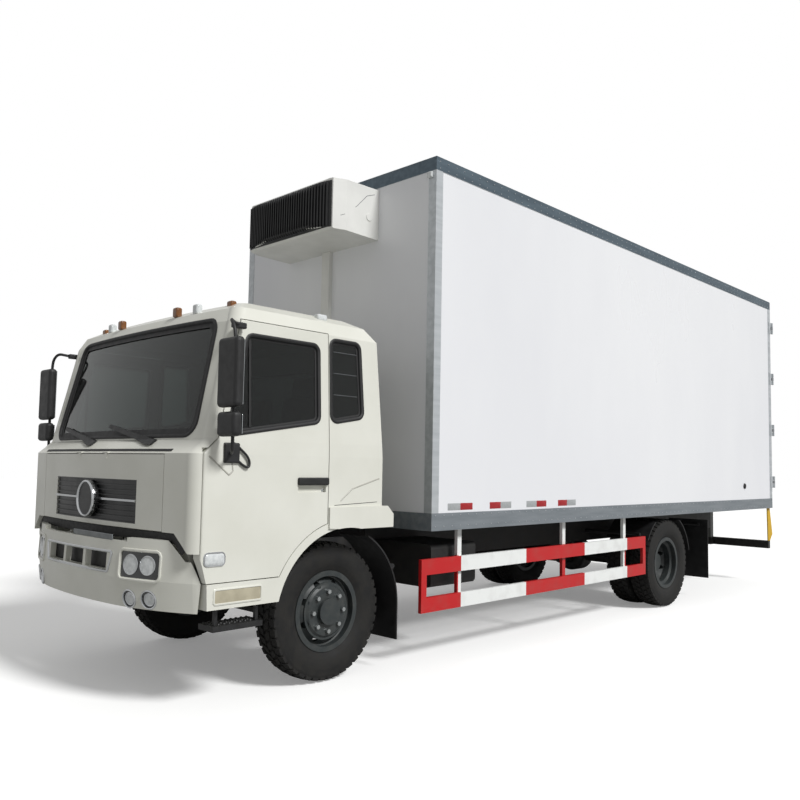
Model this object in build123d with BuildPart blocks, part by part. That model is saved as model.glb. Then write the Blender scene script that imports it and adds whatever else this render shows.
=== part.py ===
from build123d import *
from math import atan2, cos, radians, sin
import os

# Refrigerated truck: forward-control cab on a ladder frame with an insulated box body.
# +Z is up, the truck faces -Y and its left side is +X. The origin is on the ground, midway
# along the truck. Lengths are in millimetres. Stations along the truck are measured from the
# front axle, rearwards positive, and at() turns them into the model's Y.

# Overall layout
front_overhang = 1400.0
wheelbase = 4870.0
rear_overhang = 3270.0
overall_length = front_overhang + wheelbase + rear_overhang
front_axle_y = front_overhang - overall_length / 2
overrun = 60.0
seat_gap = 0.3
door_gap = 6.0
SIDES = (1, -1)


def at(station):
    return front_axle_y + station


rear_axle_y = at(wheelbase)

# Tyres and wheels
tyre_radius = 487.0
tyre_width = 236.0
tyre_half = tyre_width / 2
bead_radius = 256.0
rim_flange_radius = 283.0
rim_half = 94.0
rim_wall = 10.0
disc_wall = 14.0
front_track_half = 900.0
rear_track_half = 952.0
twin_spacing = 280.0
front_disc_out = 98.0
stud_circle_radius = 137.5
stud_count = 8
nut_radius = 16.0
nut_height = 22.0
disc_hole_radius = 24.0
disc_hole_circle_radius = 200.0
hub_radius = 92.0
hub_out = 62.0
drum_radius = 200.0
drum_width = 120.0
drum_wall = 16.0
stub_radius = 40.0
axle_z = tyre_radius

# Ladder frame
frame_half_width = 430.0
frame_top = 930.0
frame_depth = 225.0
frame_bottom = frame_top - frame_depth
frame_wall = 8.0
frame_flange = 75.0
frame_front_station = -1150.0
frame_rear_station = 7880.0
cross_tube_radius = 55.0
cross_stations_share = (0.0, 0.235, 0.42, 0.58, 0.735, 0.975)
tow_plate = 12.0
tow_spacing_x = 160.0
tow_spacing_z = 100.0
tow_hole_radius = 10.5
frame_web_inner = frame_half_width - frame_wall
frame_flange_inner = frame_half_width - frame_flange

# Insulated box body
box_half_width = 1250.0
box_front_station = 808.0
box_rear_station = 8045.0
box_bottom = 1027.0
box_top = 3969.0
bottom_rail_height = 135.0
bottom_rail_width = 100.0
top_rail_height = 110.0
top_rail_width = 80.0
wall_thickness = 76.0
skin_recess = 4.0
floor_thickness = 130.0
floor_top = 1230.0
roof_thickness = 80.0
post_width = 80.0
portal_post = 75.0
portal_depth = 85.0
portal_header = 110.0
bearer_height = floor_top - floor_thickness - box_bottom
bearer_width = 60.0
bearer_count = 11

# Rear doors and their gear
leaf_gap = 6.5
leaf_clear = 5.0
hinge_proud = 45.0
hinge_out = 12.0
hinge_radius = 12.0
hinge_pin_radius = 6.0
hinge_length = 160.0
hinge_share = (0.06, 0.34, 0.62, 0.90)
strap_reach = 300.0
strap_thickness = 12.0
rod_radius = 13.0
rod_proud = 28.0
rod_share = (0.16, 0.74)
handle_length = 300.0
handle_height = 42.0
handle_thickness = 10.0
handle_z = 2150.0

# Cooling unit on the box front
unit_half_width = 600.0
unit_bottom = 3410.0
unit_top = 3840.0
unit_front_station = 270.0
unit_shell = 30.0
duct_width = 100.0
duct_depth = 40.0
duct_bottom = 1200.0
duct_x = -30.0
louvre_count = 15
louvre_thickness = 7.0

# Cab shell
cab_half_width = 1190.0
cab_nose_station = -1300.0
cab_length = 1630.0
cab_roof = 2568.0
cab_wall = 45.0
cab_front_wall = 110.0
corner_width = 95.0
cab_floor_bottom = 1080.0
cab_floor_top = 1120.0
sill_bottom = 640.0
sill_top = 792.0
skirt_inner = 850.0
skirt_wall = 35.0
arch_radius = 600.0
arch_flat = 1075.0
arch_lip = 62.0
fender_rear_station = 440.0
fender_top = 1230.0
tunnel_half_width = 390.0
tunnel_top = 1230.0
tunnel_wall = 30.0
tunnel_front_station = -930.0

# Cab skin by level: height, half width, nose, bow end, corner start and rear wall.
# Height is a share of the roof height, the half width of the cab's, and the rest are
# shares of the cab's length behind its nose.
cab_skin_shares = (
    (0.2300, 1.000, 0.000, 0.046, 0.101, 1.000),
    (0.6133, 1.000, 0.000, 0.046, 0.101, 1.000),
    (0.6485, 0.998, 0.067, 0.112, 0.160, 0.997),
    (0.9425, 0.966, 0.184, 0.218, 0.258, 0.972),
    (0.9795, 0.929, 0.218, 0.246, 0.288, 0.914),
    (1.0000, 0.849, 0.282, 0.307, 0.344, 0.834),
)
cab_room_shares = (
    (0.4361, 1.000, 0.000, 0.046, 0.101, 1.000),
    (0.6133, 1.000, 0.000, 0.046, 0.101, 1.000),
    (0.6485, 0.998, 0.067, 0.112, 0.160, 0.997),
    (0.9425, 0.966, 0.184, 0.218, 0.258, 0.972),
    (0.9680, 0.940, 0.205, 0.236, 0.276, 0.940),
)

# Cab doors
door_front = -1163.0
door_rear = -186.0
door_bottom = 800.0
door_head = 2425.0
door_front_low = 945.0
door_foot = -1122.0
pillar_foot_z = 1575.0
pillar_bend = (-1062.0, 1668.0)
door_head_front = -900.0
window_front_low = (-1000.0, 1697.0)
window_rear_low = (-275.0, 1812.0)
window_rear_high = (-275.0, 2330.0)
window_front_high = (-848.0, 2330.0)
window_corner = 45.0
glass = 8.0
glass_inset = 14.0
door_edge_round = 14.0
door_hinge_levels = (1010.0, 1490.0)
door_hinge_height = 50.0
door_hinge_radius = 10.0
door_pin_radius = 5.0
door_hinge_clear = 2.0
door_inner_x = 1040.0
handle_station = -206.0
handle_rise = 1402.0
pull_length = 240.0
pull_height = 34.0
pull_depth = 22.0

# Quarter and rear windows
quarter_front = -158.0
quarter_rear = 130.0
quarter_low = 1865.0
quarter_low_front = 1815.0
quarter_high = 2385.0
rear_window_half = 420.0
rear_window_low = 1850.0
rear_window_high = 2260.0

# Windscreen
screen_low = 1690.0
screen_high = 2440.0
screen_low_half = 1000.0
screen_high_half = 955.0
screen_corner = 90.0

# Front lid and grille
lid_half_width = 880.0
lid_low = 1095.0
lid_high = 1566.0
lid_thickness = 30.0
lid_pocket = 60.0
lid_gap = 5.0
lid_axis_rise = 12.0
lid_hinge_x = 200.0
lid_hinge_half = 18.0
lid_hinge_radius = 6.0
lid_pin_radius = 3.0
grille_half_width = 598.0
grille_low = 1125.0
grille_high = 1402.0
grille_depth = 16.0
grille_bar = 16.0
slat_count = 8
slat_thickness = 8.0
ring_radius = 125.0
ring_tube = 13.0
ring_proud = 34.0

# Bumper
bumper_nose = -1400.0
bumper_bow_half = 450.0
bumper_bow_station = -1378.0
bumper_corner_half = 1110.0
bumper_corner_station = -1165.0
bumper_half_width = 1190.0
bumper_end = -1130.0
bumper_bottom = 616.0
bumper_lip = 795.0
bumper_top = 1045.0
bumper_mid_top = 1019.0
bumper_mid_half = 625.0
bumper_wing_top = 922.0
bumper_slope_front = -1237.0
bumper_slope_rear = -1186.0
bumper_wall = 40.0
bumper_tuck = 22.0
intake_half_width = 430.0
intake_low = 832.0
intake_high = 938.0
intake_post = 34.0
lamp_inner = 582.0
lamp_outer = 893.0
lamp_low = 802.0
lamp_high = 962.0
fog_places = ((660.0, 671.0), (818.0, 679.0))
fog_radius = 50.0

# Lower edge of the cab's front, which steps down beside the bumper's slopes
cab_front_low = 1091.0
cab_corner_low = 977.0
cab_slope_inner = 1002.0
cab_slope_outer = 1133.0

# Cab tilt pivot and rear rest
pivot_station = -1305.0
pivot_z = 980.0
pivot_x = 410.0
pivot_half = 18.0
pivot_boss = 15.0
pivot_pin = 9.0
pivot_lug = 20.0
rest_station = 215.0
rest_length = 60.0

# Axles, springs and steering
kingpin_half = 800.0
kingpin_radius = 20.0
beam_drop = 75.0
beam_width = 90.0
beam_depth = 85.0
eye_radius = 46.0
eye_half_height = 45.0
yoke_gap = 5.0
yoke_ear = 34.0
stub_flange_radius = 90.0
stub_flange = 20.0
arm_x = -95.0
arm_y = 195.0
arm_drop = 75.0
arm_thickness = 22.0
rod_end_radius = 24.0
tie_radius = 17.0
spring_x = 392.0
spring_width = 70.0
leaf_thickness = 14.0
leaf_count = 4
spring_half_span = 700.0
front_hanger = 100.0
rear_hanger = 60.0
hanger_length = 60.0
axle_tube_radius = 72.0
diff_radius = 190.0
diff_half = 150.0
prop_radius = 45.0
prop_front_station = 820.0
prop_front_z = 640.0

# Engine and gearbox
engine_half_width = 335.0
engine_front = -880.0
engine_rear = 260.0
engine_bottom = 560.0
engine_top = 1190.0
gearbox_half_width = 190.0
gearbox_top = 860.0
mount_foot = 60.0
mount_stations = (-700.0, 120.0)

# Side guards, mudguards, tanks and steps
guard_front = 760.0
guard_rear = 4350.0
guard_out = 1200.0
guard_depth = 30.0
guard_upper = (690.0, 810.0)
guard_lower = (405.0, 520.0)
guard_post_share = (0.134, 0.563, 0.886)
guard_post_width = 50.0
guard_end_width = 60.0
mudguard_radius = 585.0
mudguard_wall = 12.0
mudguard_inner = 790.0
mudguard_outer = 1110.0
flap_bottom = 225.0
flap_outer = 1210.0
flap_inner = 710.0
rear_flap_station = 5940.0
rear_guard_radius = 545.0
stay_radius = 20.0
tank_front = 1330.0
tank_rear = 2450.0
tank_low = 420.0
tank_high = 960.0
tank_outer = 1130.0
tank_inner = 500.0
tank_corner = 110.0
battery_front = 1000.0
battery_rear = 1560.0
battery_low = 560.0
battery_high = 900.0
battery_outer = 1080.0
tank_strap = 40.0
step_front = -1045.0
step_rear = -680.0
step_low = 500.0
step_thickness = 35.0
step_inner = 1000.0
step_outer = 1160.0
step_hanger = 22.0

# Rear underrun bar and lamps
bar_half_width = 1210.0
bar_low = 460.0
bar_high = 566.0
bar_front_station = 7975.0
bar_depth = 70.0
hanger_width = 60.0
corner_plate = 12.0
corner_plate_width = 90.0
corner_plate_lean = wheelbase + rear_overhang - bar_front_station - bar_depth
tail_lamp_inner = 800.0
tail_lamp_outer = 1120.0
tail_lamp_low = 1055.0
tail_lamp_high = 1150.0
tail_lamp_proud = 14.0

# Cab interior
seat_half_width = 235.0
seat_x = 640.0
seat_front = -560.0
seat_back_station = -60.0
seat_cushion = 150.0
seat_base_height = 200.0
seat_back_height = 560.0
seat_back_thickness = 110.0
headrest_height = 150.0
headrest_half_width = 130.0
middle_half_width = 190.0
dash_half_width = 1070.0
wheel_rim_radius = 215.0
wheel_rim_tube = 16.0
wheel_station = -780.0
wheel_height = 1640.0
wheel_tilt = 38.0
column_radius = 32.0

# Mirrors
mirror_x = 1330.0
mirror_station = -1090.0
mirror_half_width = 105.0
mirror_low = 1850.0
mirror_high = 2270.0
mirror_depth = 60.0
mirror_tube = 13.0
small_mirror_height = 150.0
small_mirror_gap = 25.0
mirror_bracket_low = 1587.0
mirror_bracket_high = 2377.0
mirror_bracket_station = -960.0


def block(low, high, mode=Mode.ADD):
    with Locations(low):
        Box(high[0] - low[0], high[1] - low[1], high[2] - low[2],
            align=(Align.MIN, Align.MIN, Align.MIN), mode=mode)


def side_block(side, low, high, mode=Mode.ADD):
    # One block given for the left side, or its mirror image on the right.
    near, far = sorted((side * low[0], side * high[0]))
    block((near, low[1], low[2]), (far, high[1], high[2]), mode)


def outline(plane, points, corner=0.0):
    with BuildSketch(plane) as drawn:
        with BuildLine():
            Polyline(*points, close=True)
        make_face()
        if corner:
            fillet(drawn.vertices(), corner)
    return drawn.sketch


def prism(plane, points, depth, mode=Mode.ADD, corner=0.0):
    extrude(outline(plane, points, corner), amount=depth, mode=mode)


def rod(start, end, radius, mode=Mode.ADD):
    path = Vector(*end) - Vector(*start)
    with BuildSketch(Plane(origin=start, z_dir=path)) as section:
        Circle(radius)
    extrude(section.sketch, amount=path.length, mode=mode)


def plan(height, half, nose, bow, corner, rear, width):
    # A plan section with a bowed front and rounded front corners.
    with BuildSketch(Plane.XY.offset(height)) as section:
        with BuildLine():
            Line((half, rear), (half, corner))
            TangentArc((half, corner), (half - width, bow), tangent=(0, -1))
            ThreePointArc((half - width, bow), (0, nose), (width - half, bow))
            TangentArc((-half, corner), (width - half, bow), tangent=(0, -1))
            Line((-half, corner), (-half, rear))
            Line((-half, rear), (half, rear))
        make_face()
    return section.sketch.faces()[0]


def cab_form(levels, side_inset, front_inset, mode=Mode.ADD):
    sections = []
    for level, half, nose, bow, corner, rear in levels:
        stations = [at(cab_nose_station) + cab_length * share for share in (nose, bow, corner)]
        sections.append(plan(
            cab_roof * level, cab_half_width * half - side_inset,
            *[station + front_inset for station in stations],
            at(cab_nose_station) + cab_length * rear - side_inset, corner_width))
    loft(sections, ruled=True, mode=mode)


# Frame rails: two channels, cross tubes and spring hangers.
with BuildPart() as frame_rails:
    for side in SIDES:
        side_block(side, (frame_web_inner, at(frame_front_station), frame_bottom),
                   (frame_half_width, at(frame_rear_station), frame_top))
        for low in (frame_bottom, frame_top - frame_wall):
            side_block(side, (frame_flange_inner, at(frame_front_station), low),
                       (frame_half_width, at(frame_rear_station), low + frame_wall))
    for share in cross_stations_share:
        station = at(frame_front_station + cross_tube_radius
                     + share * (frame_rear_station - frame_front_station))
        rod((-frame_web_inner, station, frame_bottom + frame_depth / 2),
            (frame_web_inner, station, frame_bottom + frame_depth / 2), cross_tube_radius)
    for axle, drop in ((at(0), front_hanger), (rear_axle_y, rear_hanger)):
        for end in SIDES:
            for side in SIDES:
                middle = axle + end * (spring_half_span + hanger_length / 2)
                side_block(side, (spring_x - spring_width / 2, middle - hanger_length / 2, frame_bottom - drop),
                           (spring_x + spring_width / 2, middle + hanger_length / 2, frame_bottom))

    for side in SIDES:
        side_block(side, (frame_flange_inner, at(rest_station), frame_top),
                   (frame_half_width, at(rest_station + rest_length), cab_floor_bottom - seat_gap))
    # End cross member, drilled for a coupling.
    block((-frame_web_inner, at(frame_rear_station) - tow_plate, frame_bottom),
          (frame_web_inner, at(frame_rear_station), frame_top))
    with BuildSketch(Plane.XZ.offset(-at(frame_rear_station))) as tow_holes:
        with Locations((0, frame_bottom + frame_depth / 2)):
            with GridLocations(tow_spacing_x, tow_spacing_z, 2, 2):
                Circle(tow_hole_radius)
    extrude(tow_holes.sketch, amount=2 * tow_plate, mode=Mode.SUBTRACT)

# Leaf springs: four stacks that lie under the rails, shortest leaf lowest.
with BuildPart() as leaf_springs:
    beam_top = axle_z - beam_drop + beam_depth / 2
    for axle, drop, seat in ((at(0), front_hanger, beam_top),
                             (rear_axle_y, rear_hanger, axle_z + axle_tube_radius)):
        middle_z = seat + leaf_count * leaf_thickness
        rise = frame_bottom - drop - middle_z
        bend = (spring_half_span ** 2 + rise ** 2) / (2 * rise)
        for side in SIDES:
            plane = Plane.YZ.offset(side * spring_x - spring_width / 2)
            for index in range(leaf_count):
                reach = spring_half_span * (1 - index / (leaf_count + 1))
                with BuildSketch(plane) as leaf:
                    with BuildLine():
                        ends = []
                        for radius in (bend + index * leaf_thickness, bend + (index + 1) * leaf_thickness):
                            drop_in = radius - (radius ** 2 - reach ** 2) ** 0.5
                            low = middle_z + bend - radius
                            points = [(axle - reach, low + drop_in), (axle, low), (axle + reach, low + drop_in)]
                            ThreePointArc(*points)
                            ends.append((points[0], points[2]))
                        Line(ends[0][0], ends[1][0])
                        Line(ends[0][1], ends[1][1])
                    make_face()
                extrude(leaf.sketch, amount=spring_width)

# Front axle: a drop beam with an eye for each kingpin.
beam_z = axle_z - beam_drop
with BuildPart() as front_axle_beam:
    prism(Plane.XZ.offset(-at(0) - beam_width / 2), [
        (side * kingpin_half * share, z) for side, share, z in (
            (-1, 1.0, axle_z - eye_half_height), (-1, 0.90, axle_z - eye_half_height),
            (-1, 0.68, beam_z - beam_depth / 2), (1, 0.68, beam_z - beam_depth / 2),
            (1, 0.90, axle_z - eye_half_height), (1, 1.0, axle_z - eye_half_height),
            (1, 1.0, axle_z + eye_half_height), (1, 0.88, axle_z + eye_half_height),
            (1, 0.62, beam_z + beam_depth / 2), (-1, 0.62, beam_z + beam_depth / 2),
            (-1, 0.88, axle_z + eye_half_height), (-1, 1.0, axle_z + eye_half_height))], beam_width)
    for side in SIDES:
        low = (side * kingpin_half, at(0), axle_z - eye_half_height)
        high = (side * kingpin_half, at(0), axle_z + eye_half_height)
        rod(low, high, eye_radius)
        rod(low, high, kingpin_radius + seat_gap, Mode.SUBTRACT)

# Steering knuckle: yoke, kingpin, stub axle and track-rod arm.
yoke_z = eye_half_height + yoke_gap
plate_x = kingpin_half + eye_radius + yoke_gap
stub_end = front_track_half + front_disc_out - disc_wall
with BuildPart() as knuckle_left:
    rod((plate_x, at(0), axle_z), (plate_x + stub_flange, at(0), axle_z), stub_flange_radius)
    rod((plate_x, at(0), axle_z), (stub_end, at(0), axle_z), stub_radius)
    for end in SIDES:
        near, far = sorted((axle_z + end * yoke_z, axle_z + end * (yoke_z + yoke_ear)))
        block((kingpin_half, at(0) - kingpin_radius * 2, near),
              (plate_x + stub_flange, at(0) + kingpin_radius * 2, far))
        rod((kingpin_half, at(0), near), (kingpin_half, at(0), far), kingpin_radius * 2)
    rod((kingpin_half, at(0), axle_z - yoke_z), (kingpin_half, at(0), axle_z + yoke_z), kingpin_radius)
    arm_low = axle_z - arm_drop - arm_thickness / 2
    arm_end = (kingpin_half + arm_x, at(arm_y))
    prism(Plane.XY.offset(arm_low), [
        (plate_x, at(stub_flange)), (plate_x + stub_flange, at(stub_flange)),
        (plate_x + stub_flange, at(stub_flange + stub_flange_radius / 2)),
        (arm_end[0] + rod_end_radius / 2, arm_end[1] + rod_end_radius / 2),
        (arm_end[0] - rod_end_radius / 2, arm_end[1] - rod_end_radius / 2)], arm_thickness)
    rod((*arm_end, arm_low), (*arm_end, arm_low + arm_thickness), rod_end_radius)
with BuildPart() as knuckle_right:
    mirror(knuckle_left.part, about=Plane.YZ)

# Track rod between the two arms.
with BuildPart() as tie_rod:
    tie_top = arm_low - seat_gap
    tie_z = tie_top - rod_end_radius
    for side in SIDES:
        rod((side * arm_end[0], arm_end[1], tie_z - tie_radius), (side * arm_end[0], arm_end[1], tie_top),
            rod_end_radius)
    rod((-arm_end[0], arm_end[1], tie_z), (arm_end[0], arm_end[1], tie_z), tie_radius)

# Rear axle: tube, banjo housing and pinion nose, with a spindle at each end.
rear_drum_inner = rear_track_half - disc_wall - drum_width
with BuildPart() as rear_axle:
    spindle = rear_track_half + hub_out
    tube_end = rear_drum_inner - disc_wall
    rod((-tube_end, rear_axle_y, axle_z), (tube_end, rear_axle_y, axle_z), axle_tube_radius)
    rod((-spindle, rear_axle_y, axle_z), (spindle, rear_axle_y, axle_z), stub_radius)
    rod((0, rear_axle_y - diff_half, axle_z), (0, rear_axle_y + diff_half, axle_z), diff_radius)
    fillet(rear_axle.edges().filter_by(GeomType.CIRCLE).filter_by(lambda e: e.radius == diff_radius), overrun)
    rod((0, rear_axle_y - diff_half - diff_radius, axle_z), (0, rear_axle_y, axle_z), prop_radius * 2)
# Engine and gearbox: one plain block on feet that reach the rails.
with BuildPart() as engine_gearbox:
    block((-engine_half_width, at(engine_front), engine_bottom), (engine_half_width, at(engine_rear), engine_top))
    block((-gearbox_half_width, at(engine_rear), engine_bottom),
          (gearbox_half_width, at(prop_front_station), gearbox_top))
    for station in mount_stations:
        block((-frame_web_inner, at(station), frame_bottom + frame_wall + mount_foot),
              (frame_web_inner, at(station) + mount_foot, frame_bottom + frame_wall + 2 * mount_foot))
    add(frame_rails.part, mode=Mode.SUBTRACT)
with BuildPart() as propshaft:
    rod((0, at(prop_front_station) - overrun, prop_front_z),
        (0, rear_axle_y - diff_half - diff_radius, axle_z), prop_radius)
    add(engine_gearbox.part, mode=Mode.SUBTRACT)
    add(rear_axle.part, mode=Mode.SUBTRACT)


def wheel_plane(x):
    return Plane(origin=(x, 0, axle_z), x_dir=(1, 0, 0), z_dir=(0, -1, 0))


def turned(plane, y, points):
    # A closed profile of (axial, radial) points turned about the wheel's axis.
    placed = Plane(origin=(plane.origin.X, y, axle_z), x_dir=plane.x_dir, z_dir=plane.z_dir)
    revolve(outline(placed, points), axis=Axis((0, y, axle_z), (1, 0, 0)))


# Tyre section as shares of half width and of the height above the bead.
tyre_section_shares = ((0.66, 0.0), (0.695, 0.12), (0.86, 0.24), (1.0, 0.46), (0.99, 0.62),
                       (0.92, 0.85), (0.82, 0.945), (0.66, 1.0))


def tyre(x, y):
    height = tyre_radius - bead_radius
    half = [(tyre_half * across, bead_radius + height * up) for across, up in tyre_section_shares]
    turned(wheel_plane(x), y, half + [(-across, radius) for across, radius in reversed(half)])


def barrel(x, y):
    # Rim barrel with a drop centre and a flange at each edge, under the tyre's bead.
    seat = bead_radius
    foot = tyre_half * tyre_section_shares[0][0]
    well = seat - 3 * rim_wall
    turned(wheel_plane(x), y, [
        (-rim_half, rim_flange_radius), (-rim_half + rim_wall, rim_flange_radius),
        (-foot - rim_wall / 2, seat), (-foot / 2, seat), (-foot / 3, well), (foot / 3, well), (foot / 2, seat),
        (foot + rim_wall / 2, seat), (rim_half - rim_wall, rim_flange_radius), (rim_half, rim_flange_radius),
        (rim_half, seat - rim_wall), (foot / 2 + rim_wall / 2, seat - rim_wall), (foot / 3 + rim_wall / 2, well - rim_wall),
        (-foot / 3 - rim_wall / 2, well - rim_wall), (-foot / 2 - rim_wall / 2, seat - rim_wall),
        (-rim_half, seat - rim_wall)])


def disc(x, y, face, out):
    # Wheel disc from the barrel at x to the flat hub face at x = face; out is the side it bulges to.
    edge = x + out * rim_half / 3 - face
    turned(wheel_plane(face), y, [
        (0, 0), (0, stud_circle_radius + 2 * nut_radius), (edge, bead_radius - rim_wall),
        (edge - out * disc_wall * 2, bead_radius - rim_wall),
        (-out * disc_wall, stud_circle_radius + 2 * nut_radius), (-out * disc_wall, 0)])


def drum(x, y, inner):
    # Brake drum behind the disc, closed at the wheel and open at its inner side.
    turned(wheel_plane(x), y, [
        (0, 0), (0, drum_radius), (inner - x, drum_radius), (inner - x, drum_radius - drum_wall),
        (-drum_wall, drum_radius - drum_wall), (-drum_wall, 0)])


def studs(x, y, height):
    with BuildSketch(Plane(origin=(x, y, axle_z), x_dir=(0, 1, 0), z_dir=(1, 0, 0))) as nuts:
        with PolarLocations(stud_circle_radius, stud_count):
            RegularPolygon(nut_radius, 6)
    extrude(nuts.sketch, amount=height)


def disc_holes(x, y, depth):
    with BuildSketch(Plane(origin=(x, y, axle_z), x_dir=(0, 1, 0), z_dir=(1, 0, 0))) as holes:
        with PolarLocations(disc_hole_circle_radius, stud_count, start_angle=180 / stud_count):
            Circle(disc_hole_radius)
    extrude(holes.sketch, amount=depth, both=True, mode=Mode.SUBTRACT)


front_face = front_track_half + front_disc_out
with BuildPart() as tyre_front_left:
    tyre(front_track_half, at(0))
with BuildPart() as rim_front_left:
    barrel(front_track_half, at(0))
    disc(front_track_half, at(0), front_face, 1)
    disc_holes(front_face, at(0), drum_width / 2)
    drum(front_face - disc_wall, at(0), front_face - disc_wall - drum_width)
    rod((stub_end - hub_out, at(0), axle_z), (front_face + hub_out / 2, at(0), axle_z), hub_radius)
    rod((stub_end - hub_out - drum_width, at(0), axle_z), (stub_end + seat_gap, at(0), axle_z),
        stub_radius + seat_gap, Mode.SUBTRACT)
    studs(front_face, at(0), nut_height)
with BuildPart() as tyre_rear_left:
    for end in SIDES:
        tyre(rear_track_half + end * twin_spacing / 2, rear_axle_y)
with BuildPart() as rim_rear_left:
    for end in SIDES:
        barrel(rear_track_half + end * twin_spacing / 2, rear_axle_y)
        disc(rear_track_half + end * twin_spacing / 2, rear_axle_y, rear_track_half, -end)
    disc_holes(rear_track_half, rear_axle_y, drum_width)
    drum(rear_track_half - disc_wall, rear_axle_y, rear_drum_inner)
    rod((rear_drum_inner, rear_axle_y, axle_z), (rear_track_half + 2 * hub_out, rear_axle_y, axle_z), hub_radius)
    rod((rear_drum_inner, rear_axle_y, axle_z), (spindle + seat_gap, rear_axle_y, axle_z),
        stub_radius + seat_gap, Mode.SUBTRACT)
    studs(rear_track_half + disc_wall, rear_axle_y, nut_height)
with BuildPart() as tyre_front_right:
    mirror(tyre_front_left.part, about=Plane.YZ)
with BuildPart() as rim_front_right:
    mirror(rim_front_left.part, about=Plane.YZ)
with BuildPart() as tyre_rear_right:
    mirror(tyre_rear_left.part, about=Plane.YZ)
with BuildPart() as rim_rear_right:
    mirror(rim_rear_left.part, about=Plane.YZ)

# Box body: edge rails, rear portal and the panels between them.
box_front = at(box_front_station)
box_rear = at(box_rear_station)
box_inner_front = box_front + post_width
portal_front = box_rear - portal_depth
wall_outer = box_half_width - skin_recess
wall_inner = wall_outer - wall_thickness
bottom_rail_top = box_bottom + bottom_rail_height
top_rail_bottom = box_top - top_rail_height
portal_half = box_half_width - portal_post
portal_head = box_top - portal_header
rail_inner = box_half_width - bottom_rail_width
hinge_x = box_half_width + hinge_out
hinge_y = box_rear + hinge_proud
door_low = floor_top + leaf_clear
door_high = portal_head - leaf_clear


def hinge_levels():
    # Bottom of each hinge on a rear door leaf.
    return [door_low + share * (door_high - door_low) - hinge_length / 2 for share in hinge_share]


with BuildPart() as box_corner_rails:
    for side in SIDES:
        side_block(side, (rail_inner, box_front, box_bottom), (box_half_width, box_rear, bottom_rail_top))
        side_block(side, (box_half_width - top_rail_width, box_front, top_rail_bottom),
                   (box_half_width, box_rear, box_top))
        side_block(side, (box_half_width - post_width, box_front, box_bottom),
                   (box_half_width, box_inner_front, box_top))
        side_block(side, (portal_half, portal_front, box_bottom), (box_half_width, box_rear, box_top))
        for low in hinge_levels():
            side_block(side, (box_half_width, box_rear - overrun, low),
                       (box_half_width + hinge_radius / 2, box_rear, low + hinge_length))
            for foot in (low, low + hinge_length * 2 / 3):
                side_block(side, (box_half_width, box_rear, foot),
                           (box_half_width + hinge_radius / 2, hinge_y, foot + hinge_length / 3))
                rod((side * hinge_x, hinge_y, foot), (side * hinge_x, hinge_y, foot + hinge_length / 3), hinge_radius)
            rod((side * hinge_x, hinge_y, low), (side * hinge_x, hinge_y, low + hinge_length), hinge_pin_radius)
    block((-box_half_width, box_front, box_bottom), (box_half_width, box_inner_front, bottom_rail_top))
    block((-box_half_width, box_front, top_rail_bottom), (box_half_width, box_inner_front, box_top))
    block((-box_half_width, portal_front, box_bottom), (box_half_width, box_rear, floor_top))
    block((-box_half_width, portal_front, portal_head), (box_half_width, box_rear, box_top))

with BuildPart() as box_wall_left:
    block((wall_inner, box_inner_front, bottom_rail_top), (wall_outer, portal_front, top_rail_bottom))
with BuildPart() as box_wall_right:
    mirror(box_wall_left.part, about=Plane.YZ)
with BuildPart() as box_wall_front:
    block((-box_half_width + post_width, box_front + skin_recess, bottom_rail_top),
          (box_half_width - post_width, box_inner_front, top_rail_bottom))
with BuildPart() as box_roof:
    block((top_rail_width - box_half_width, box_inner_front, box_top - roof_thickness),
          (box_half_width - top_rail_width, portal_front, box_top - skin_recess))
with BuildPart() as box_floor:
    block((-wall_inner, box_inner_front, floor_top - floor_thickness), (wall_inner, portal_front, floor_top))
    add(box_corner_rails.part, mode=Mode.SUBTRACT)

# Floor bearers and the two long sills that lie on the frame.
with BuildPart() as floor_bearers:
    for side in SIDES:
        side_block(side, (frame_flange_inner, box_inner_front, frame_top),
                   (frame_half_width, portal_front, box_bottom))
    pitch = (portal_front - box_inner_front - bearer_width) / (bearer_count - 1)
    for index in range(bearer_count):
        block((-rail_inner, box_inner_front + index * pitch, box_bottom),
              (rail_inner, box_inner_front + index * pitch + bearer_width, box_bottom + bearer_height))

# Rear doors: one thick leaf on each side, flush with the portal.
with BuildPart() as rear_door_left:
    block((leaf_gap, portal_front, door_low), (portal_half - leaf_clear, box_rear, door_high))
    fillet(rear_door_left.faces().sort_by(Axis.Y)[-1].edges(), leaf_clear)
with BuildPart() as rear_door_right:
    mirror(rear_door_left.part, about=Plane.YZ)

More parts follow.
